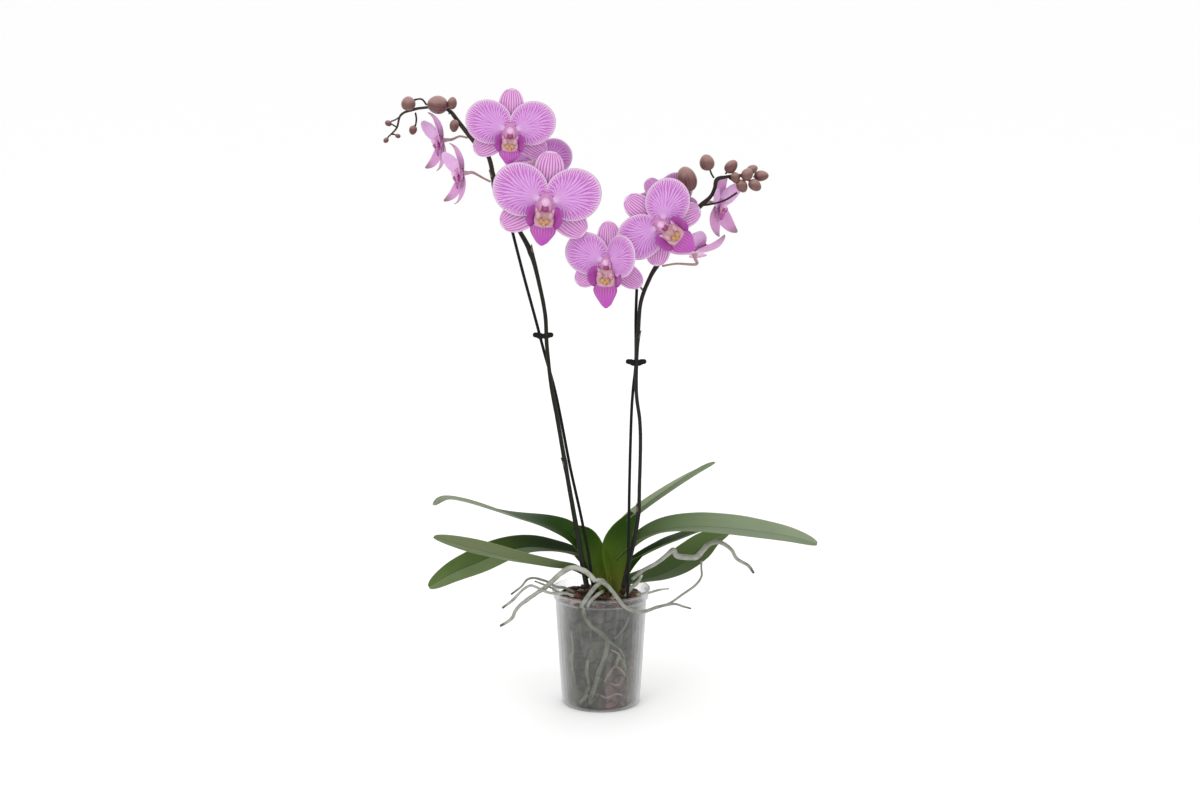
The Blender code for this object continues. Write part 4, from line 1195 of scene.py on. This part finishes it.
def mid_lobe_surface(length):
    """The lip's mid-lobe: spreads to two shoulders below the throat, then narrows to its point."""

    def place(u, v):
        share = clamped(v)
        half = blend_along((8.5, 12.0, 13.2, 12.6, 11.2, 9.4, 7.6, 5.6, 2.0), share) * MM
        run = -(23.0 + 20.0 * length * share) * MM
        drop = 1.8 * MM * u * u * (1 + share)
        height = (11.5 + 4.0 * math.sin(math.pi * min(share, 0.8)) - 2.5 * share) * MM
        keel = 1.0 * MM * math.exp(-(6 * u) ** 2) * (1 - share)
        droop = 2.0 * MM * u * u * (1 - share)
        return Vector((half * u, run + droop, height - drop + keel))

    return place


def side_lobe_surface(side):
    """One of the two side lobes: rounded ears that stand up and curl in beside the column."""

    def place(u, v):
        share = clamped(v)
        out = (7.0 + 12.0 * share) * MM
        rise = (6.5 + 9.0 * share ** 1.6) * MM
        round_off = math.sqrt(max(1 - (max(share - 0.30, 0.0) / 0.71) ** 2, 0.0))
        half = 11.5 * MM * (0.62 + 0.38 * min(share / 0.30, 1.0)) * round_off
        y = (-15.0 + 1.5 * share) * MM + half * u
        inward = 2.5 * MM * share ** 2 * (1 - u * u)
        return Vector((side * (out - 0.5 * inward), y, rise + inward))

    return place


def throat_surface(u, v):
    """The pale floor of the lip, from the foot of the column to the ledge above the mid-lobe."""
    share = clamped(v)
    half = blend_along((5.0, 8.0, 9.8, 9.6, 7.2), share) * MM
    rim = 3.0 * MM * u * u * math.sin(math.pi * min(share + 0.15, 1.0))
    return Vector((half * u, -(5.0 + 20.0 * share) * MM, (4.5 + 7.5 * share) * MM + rim))


def make_lip(length, skins):
    """The whole lip in the flower's own frame."""
    magenta, edged, throat, ear_skin, callus = skins
    parts = [sheet(mid_lobe_surface(length), 1.0 * MM, 40, 36, magenta)]
    for side in (-1, 1):
        parts.append(sheet(side_lobe_surface(side), 0.9 * MM, 26, 24, edged))
    parts.append(sheet(throat_surface, 1.0 * MM, 24, 20, throat))
    for side in (-1, 1):
        ear = (side * 6.0, -13.2, 10.0)
        parts.append(lump(ear, (side * 0.3, 1, 0.5), 4.9, 3.3, ear_skin, 24, 16))
        knob = (side * 2.6, -18.2, 12.0)
        parts.append(lump(knob, (side * 0.6, 0.3, 1), 3.2, 2.6, callus, 20, 14))
    parts.append(lump((0, -20.8, 12.4), (0, -1, 0.2), 3.2, 2.0, callus, 18, 12))
    return parts


def make_column(skins):
    """The column: a stout pale foot, wings at its sides, the cap, and under it a lump darkened with painted
    shade for the hollow.
    """
    pale, blush, cavity = skins
    foot = metres(((0, 3.5, 0.6), (0, 2.6, 4), (0, 1.4, 8)))
    parts = [
        tube(foot, lengths((7.0, 6.0, 4.6)), blush, 24),
        lump((0, 0.9, 10.2), (0, -0.35, 1), 4.6, 4.5, pale, 24, 18),
        lump((0, -2.0, 1.0), (0, 0, 1), 3.0, 10.0, blush, 32, 12)]
    for side in (-1, 1):
        wing = metres(((side * 2.5, 2.0, 8.0), (side * 4.6, -2.5, 8.4), (side * 5.0, -8.0, 7.4)))
        parts.append(tube(wing, lengths((3.0, 2.4, 1.4)), blush, 14))
    # Painted shade: a dark lump stands in for the hollow under the cap.
    parts.append(lump((0, -5.6, 8.6), (0, -0.5, 1), 2.6, 3.6, cavity, 18, 12))
    return parts


def flower_frame(centre, facing, roll, scale):
    """Takes the flower's own frame to the plant's: its +Z faces out and its +Y is the dorsal sepal."""
    out = Vector(facing).normalized()
    across = UP.cross(out).normalized()
    upright = out.cross(across)
    turn = Matrix((across, upright, out)).transposed().to_4x4()
    spin = Matrix.Rotation(-math.radians(roll), 4, "Z")
    return Matrix.Translation(Vector(centre) * MM) @ turn @ spin @ Matrix.Scale(scale, 4)


def make_flower(name, index, skins):
    """One flower's three pieces: sepals with their stalk, petals with the column, and lip."""
    form, centre, facing, roll, scale, stalk = FLOWERS[name]
    bend, lateral, pointed, lip_scale, lobe_length, petal_size, slim, lift, turns = FORMS[form]
    frame = flower_frame(centre, facing, roll, scale)
    age = "young_" if pointed > 0.5 else ""
    sepals = []
    for k, bearing in enumerate((0, lateral, -lateral)):
        surface = sepal_surface(bearing, SEPAL_LENGTH, SEPAL_WIDTH, bend, pointed, 3.0 * index + k)
        sepals.append(sheet(surface, TEPAL_THICKNESS, *SEPAL_GRID, skins[age + "sepal"]))
    petals = []
    for k, side in enumerate((-1, 1)):
        surface = petal_surface(side, petal_size, slim, lift, bend, turns[k], 2.0 * index + k)
        skin = skins[age + "petal"]
        petals.append(sheet(surface, TEPAL_THICKNESS, *PETAL_GRID, skin, start=0.03))
    petals += make_column((skins["cap"], skins["blush"], skins["cavity"]))
    lip_skins = (skins["lip"], skins["side"], skins["throat"], skins["ear"], skins["callus"])
    lip = make_lip(lobe_length, lip_skins)
    move(sepals + petals, frame)
    move(lip, frame @ Matrix.Scale(lip_scale, 4))

    back = frame @ Vector((0.0, 1.0 * MM, SEPAL_DEPTH - 1.4 * MM))
    outwards = (frame.to_3x3() @ Vector((0, 0, -1))).normalized()
    route = metres(stalk) + [back + outwards * 13 * MM, back + outwards * 6 * MM, back]
    radii = (1.3, 1.3, 1.7, 2.2, 3.6)
    sepals.append(tube(route, lengths(radii), skins["pedicel"], 14, 8))
    piece(name + "_sepal_whorl", sepals, name + "_sepals")
    piece(name + "_petal_pair", petals, name + "_petals")
    piece(name + "_lip_lobes", lip, name + "_lip")


# ---------------------------------------------------------------- pot and mix


def ribbed(place, turn):
    """Faint upright ribs round the wall, as a thin moulded pot has."""
    fade = clamped((place.z - 8 * MM) / (20 * MM)) * clamped((128 * MM - place.z) / (10 * MM))
    swell = 1 + 0.004 * fade * math.cos(POT_RIBS * turn) ** 8
    return Vector((place.x * swell, place.y * swell, place.z))


def make_pot(plastic):
    """The shell, outside then inside, closed by a thin base."""
    outside = [(0.0, 0.8 * MM), (30 * MM, 0.8 * MM), (41.5 * MM, 0.8 * MM)]
    outside += [(r * MM, z * MM) for r, z in OUTER]
    inside = [(r * MM - WALL * 0.8, max(z * MM, 2.2 * MM)) for r, z in reversed(OUTER[1:])]
    profile = outside + inside + [(30 * MM, 2.0 * MM), (0.0, 2.0 * MM)]
    piece("pot_shell", [turned(profile, plastic, 192, ribbed)], "pot")


def mix_top(place, turn):
    """Raises and lowers the top of the mix as loose chunks do."""
    if place.z < 120 * MM:
        return place
    lump = noise.noise(place * 70) * 3.0 * MM
    return Vector((place.x, place.y, place.z + lump))


def chunk(centre, size, draw, skin):
    """One piece of bark: a squarish lump with its corners knocked off."""
    shape = bmesh.new()
    shape.loops.layers.uv.new("UVMap")
    bmesh.ops.create_cube(shape, size=1.0)
    bmesh.ops.subdivide_edges(shape, edges=shape.edges[:], cuts=5, use_grid_fill=True)
    seed = Vector((draw.random() * 50, draw.random() * 50, 0.0))
    turn = Matrix.Rotation(draw.random() * 6.3, 3, "Z") @ Matrix.Rotation(draw.uniform(-0.8, 0.8), 3, "X")
    stretch = Vector((draw.uniform(0.9, 1.5), draw.uniform(0.6, 1.0), draw.uniform(0.35, 0.7))) * size
    for vert in shape.verts:
        spot = vert.co * 2.0
        spot = spot.lerp(spot.normalized(), 0.45)
        rough = 0.35 * noise.noise(spot * 1.4 + seed) + 0.12 * noise.noise(spot * 4.0 + seed)
        spot *= 0.5 * (1.0 + rough)
        vert.co = centre + turn @ (spot * stretch)
    return finish_mesh(shape, [skin])


def against_wall(point, radius):
    """Keeps a root inside the pot: pulled in until its side only just touches the wall."""
    away = math.hypot(point.x, point.y)
    most = INNER_FOOT + INNER_TAPER * point.z - 0.85 * radius
    share = min(most / away, 1.0)
    return Vector((share * point.x, share * point.y, point.z))


def on_top(turn, away, rise=0.0):
    """A place on the top of the mix, which is domed."""
    height = MIX_TOP - MIX_FALL * (away / MIX_RADIUS) ** 2 + rise
    return Vector((away * math.cos(turn), away * math.sin(turn), height)) * MM


def make_mix(bulk, barks, moss, root_skins):
    """The bulk of the mix, bark chunks and moss strands on its top, and the roots along the wall."""
    draw = random.Random(MIX_SEED)
    profile = [(radius * MM, height * MM) for radius, height in MIX_PROFILE]
    parts = [turned(profile, bulk, 96, mix_top)]
    for k in range(BARK_CHUNKS):
        turn = draw.uniform(0, 2 * math.pi)
        away = MIX_RADIUS * math.sqrt(draw.uniform(0.06, 1.0))
        size = draw.uniform(8, 17) * MM
        away = min(away, MIX_RADIUS - 1 - 760 * size)
        centre = on_top(turn, away, draw.uniform(-3.5, 1.5))
        parts.append(chunk(centre, size, draw, barks[k % len(barks)]))
    for runs, skin in zip((INNER_ROOTS, PINK_ROOTS), root_skins):
        for route, radii in runs:
            widths = lengths(radii)
            pressed = [against_wall(point, width) for point, width in zip(metres(route), widths)]
            parts.append(tube(pressed, widths, skin, 14, 4, 0.15, 3.0))
    for k in range(MOSS_STRANDS):
        turn = draw.uniform(0, 2 * math.pi)
        foot = on_top(turn, 44 * math.sqrt(draw.uniform(0.15, 1.0)))
        lean = Vector((draw.uniform(-1, 1), draw.uniform(-1, 1), draw.uniform(-0.1, 0.35)))
        bow = Vector((draw.uniform(-1, 1), draw.uniform(-1, 1), 0.4)) * 3 * MM
        tip = foot + lean * draw.uniform(6, 13) * MM
        inside = min(1.0, 47 * MM / max(math.hypot(tip.x, tip.y), 1e-6))
        tip = Vector((tip.x * inside, tip.y * inside, min(tip.z, 143 * MM)))
        strand = [foot, 0.5 * (foot + tip) + bow, tip]
        parts.append(tube(strand, lengths((0.7, 0.6, 0.3)), moss, 6, 4))
    piece("mix_and_bark", parts, "potting_mix")


# ---------------------------------------------------------------- studio


def make_studio():
    """A white world and floor, three soft lights, and the camera."""
    scene = bpy.context.scene
    scene.view_settings.view_transform = "Standard"
    world = bpy.data.worlds.new("studio")
    world.use_nodes = True
    background = world.node_tree.nodes["Background"]
    background.inputs["Color"].default_value = (1.0, 1.0, 1.0, 1.0)
    background.inputs["Strength"].default_value = 1.0
    scene.world = world

    mesh = bpy.data.meshes.new("studio_floor")
    shape = bmesh.new()
    bmesh.ops.create_grid(shape, x_segments=1, y_segments=1, size=FLOOR_SIZE)
    shape.to_mesh(mesh)
    shape.free()
    mesh.materials.append(Shade("studio_floor", 0.9).done((0.99, 0.99, 0.99)))
    floor = add_to_scene("studio_floor", mesh)

    for name, (place, size, power) in LIGHTS.items():
        light = bpy.data.lights.new(name, "AREA")
        light.size = size
        light.energy = power
        holder = add_to_scene(name, light)
        holder.location = place
        aim = Vector(LIGHT_AIM) - Vector(place)
        holder.rotation_euler = aim.to_track_quat("-Z", "Y").to_euler()

    lens = bpy.data.cameras.new("camera")
    lens.lens = CAMERA_LENS
    lens.sensor_width = SENSOR_WIDTH
    lens.clip_end = 200.0
    camera = add_to_scene("camera", lens)
    camera.location = CAMERA_PLACE
    camera.rotation_euler = (math.radians(CAMERA_PITCH), 0.0, 0.0)
    scene.camera = camera


# ---------------------------------------------------------------- everything together

def make_stems():
    """Spikes, stakes, clips, buds and aerial roots."""
    green = stem_material("stem_green", (0.013, 0.014, 0.009), (0.056, 0.042, 0.033))
    dark = stem_material("stem_dark", (0.016, 0.015, 0.012), (0.034, 0.021, 0.020))
    paper = stem_material("bract_skin", (0.15, 0.12, 0.08), (0.17, 0.12, 0.09), 0.7)
    plum = bud_material("bud_plum", (0.130, 0.040, 0.040), (0.28, 0.12, 0.11), (0.10, 0.045, 0.03))
    olive = bud_material("bud_olive", (0.165, 0.068, 0.056), (0.31, 0.16, 0.13), (0.12, 0.070, 0.04))
    black = plastic_material()
    pale = root_material("root_silver", (0.40, 0.41, 0.36), (0.26, 0.27, 0.22), (0.10, 0.09, 0.05))
    grey = root_material("root_grey", (0.30, 0.31, 0.27), (0.19, 0.20, 0.16), (0.07, 0.06, 0.04))
    make_spike(
        "left_spike", LEFT_SPIKE, LEFT_SPIKE_RADII, LEFT_BRACTS, LEFT_BRANCHES, LEFT_TIP_BUDS,
        (green, paper, plum))
    make_spike(
        "right_spike", RIGHT_SPIKE, RIGHT_SPIKE_RADII, RIGHT_BRACTS, RIGHT_BRANCHES, (),
        (dark, paper, plum))
    for name, route in (("left_stake", LEFT_STAKE), ("right_stake", RIGHT_STAKE)):
        rod = tube(metres(route), [STAKE_RADIUS] * len(route), black, 20, 6)
        piece(name + "_rod", [rod], name)
    for name in ("left_clip", "right_clip"):
        make_clip(name, black)
    make_buds((plum, olive), dark)
    make_roots((pale, grey))


def make_foliage():
    """Leaves, each with an upper and a lower skin, and the crown."""
    # Painted light in the leaf skins: the near-black foot and middle of leaf_dark_shade_and_sheen are
    # painted shade, the grey-green of leaf_grey_sheen_and_shade and of the tip of leaf_sheen_tip_and_shade
    # is a painted sheen, and each half tone given is painted sheen where it is lighter and painted shade
    # where it is darker.
    deep = leaf_material(
        "leaf_deep", ((0.030, 0.075, 0.006), (0.014, 0.042, 0.004), (0.030, 0.070, 0.010)), 0.07, 0.42)
    dark = leaf_material(
        "leaf_dark_shade_and_sheen", ((0.008, 0.020, 0.003), (0.008, 0.022, 0.003), (0.100, 0.155, 0.042)), 0.06, 0.42,
        (0.17, 0.23, 0.11), -1)
    pale = leaf_material(
        "leaf_sheen_tip_and_shade", ((0.030, 0.070, 0.006), (0.11, 0.165, 0.070), (0.23, 0.28, 0.18)), 0.12, 0.4,
        (0.085, 0.130, 0.055), foot=0.5)
    matt = leaf_material(
        "leaf_under", ((0.035, 0.058, 0.012), (0.11, 0.145, 0.058), (0.145, 0.18, 0.085)), 0.12, 0.55)
    grey_sheen = leaf_material(
        "leaf_grey_sheen_and_shade", ((0.045, 0.085, 0.014), (0.19, 0.24, 0.13), (0.22, 0.27, 0.17)), 0.2, 0.5,
        (0.12, 0.17, 0.07))
    low = leaf_material(
        "leaf_low", ((0.030, 0.070, 0.006), (0.040, 0.080, 0.012), (0.10, 0.15, 0.05)), 0.1, 0.45)
    skins = {
        "leaf_left_upper": (deep, grey_sheen), "leaf_left_front": (deep, matt), "leaf_left_lower": (dark, matt),
        "leaf_right_upper": (grey_sheen, grey_sheen), "leaf_right_long": (pale, matt),
        "leaf_right_middle": (deep, matt), "leaf_right_lower": (low, matt)}
    make_leaves(skins)
    make_crown(crown_material())


def make_flowers():
    """All ten flowers, from one set of skins."""
    skins = {
        "petal": petal_material("petal", (0.64, 0.33, 0.67), (0.55, 0.25, 0.60), 0.84),
        "young_petal": petal_material("young_petal", (0.80, 0.54, 0.78), (0.64, 0.30, 0.64), 0.25),
        "sepal": sepal_material("sepal", (0.68, 0.39, 0.67), (0.76, 0.48, 0.73), (0.84, 0.66, 0.80), 0.85),
        "young_sepal": sepal_material(
            "young_sepal", (0.66, 0.34, 0.60), (0.80, 0.58, 0.72), (0.74, 0.50, 0.68), 0.5,
            (0.34, 0.20, 0.26)),
        "lip": lip_material(),
        "side": side_lobe_material(),
        "throat": speckled("lip_throat", (0.58, 0.34, 0.36), (0.42, 0.07, 0.18), 520.0, 0.32),
        "ear": speckled("lip_ear", (0.60, 0.33, 0.40), (0.44, 0.13, 0.28), 420.0, 0.34),
        "callus": speckled("lip_callus", (0.56, 0.32, 0.13), (0.34, 0.06, 0.04), 600.0, 0.40),
        "cap": speckled("column_cap", (0.76, 0.46, 0.68), (0.60, 0.24, 0.50), 500.0, 0.24),
        "blush": speckled("column_blush", (0.60, 0.26, 0.50), (0.42, 0.10, 0.34), 400.0, 0.25),
        # Painted shade: the dark skin of the lump that stands for the hollow under the column's cap.
        "cavity": speckled("stigma_hollow", (0.36, 0.05, 0.20), (0.22, 0.02, 0.12), 600.0, 0.2, 0.3),
        "pedicel": stem_material("pedicel_skin", (0.40, 0.28, 0.24), (0.58, 0.36, 0.44), 0.5),
    }
    for index, name in enumerate(FLOWERS):
        make_flower(name, index, skins)


def make_growing_mix():
    """The potting mix with its materials."""
    barks = (
        bark_material("bark_brown", (0.13, 0.075, 0.045), (0.03, 0.018, 0.012)),
        bark_material("bark_red", (0.13, 0.055, 0.04), (0.035, 0.014, 0.011)),
        bark_material("bark_tan", (0.34, 0.24, 0.17), (0.10, 0.065, 0.042)),
        bark_material("bark_black", (0.04, 0.028, 0.02), (0.010, 0.007, 0.005)),
    )
    moss = stem_material("moss_strand", (0.24, 0.20, 0.09), (0.34, 0.27, 0.15), 0.85)
    green_root = root_material("root_green", (0.18, 0.195, 0.14), (0.085, 0.092, 0.062), (0.14, 0.13, 0.09))
    pink_root = root_material("root_pink", (0.30, 0.23, 0.20), (0.22, 0.15, 0.13), (0.20, 0.14, 0.12))
    make_mix(mix_material(), barks, moss, (green_root, pink_root))


def main():
    for thing in list(bpy.data.objects):
        bpy.data.objects.remove(thing, do_unlink=True)
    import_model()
    make_studio()
    make_stems()
    make_foliage()
    make_flowers()
    make_pot(pot_material())
    make_growing_mix()


main()
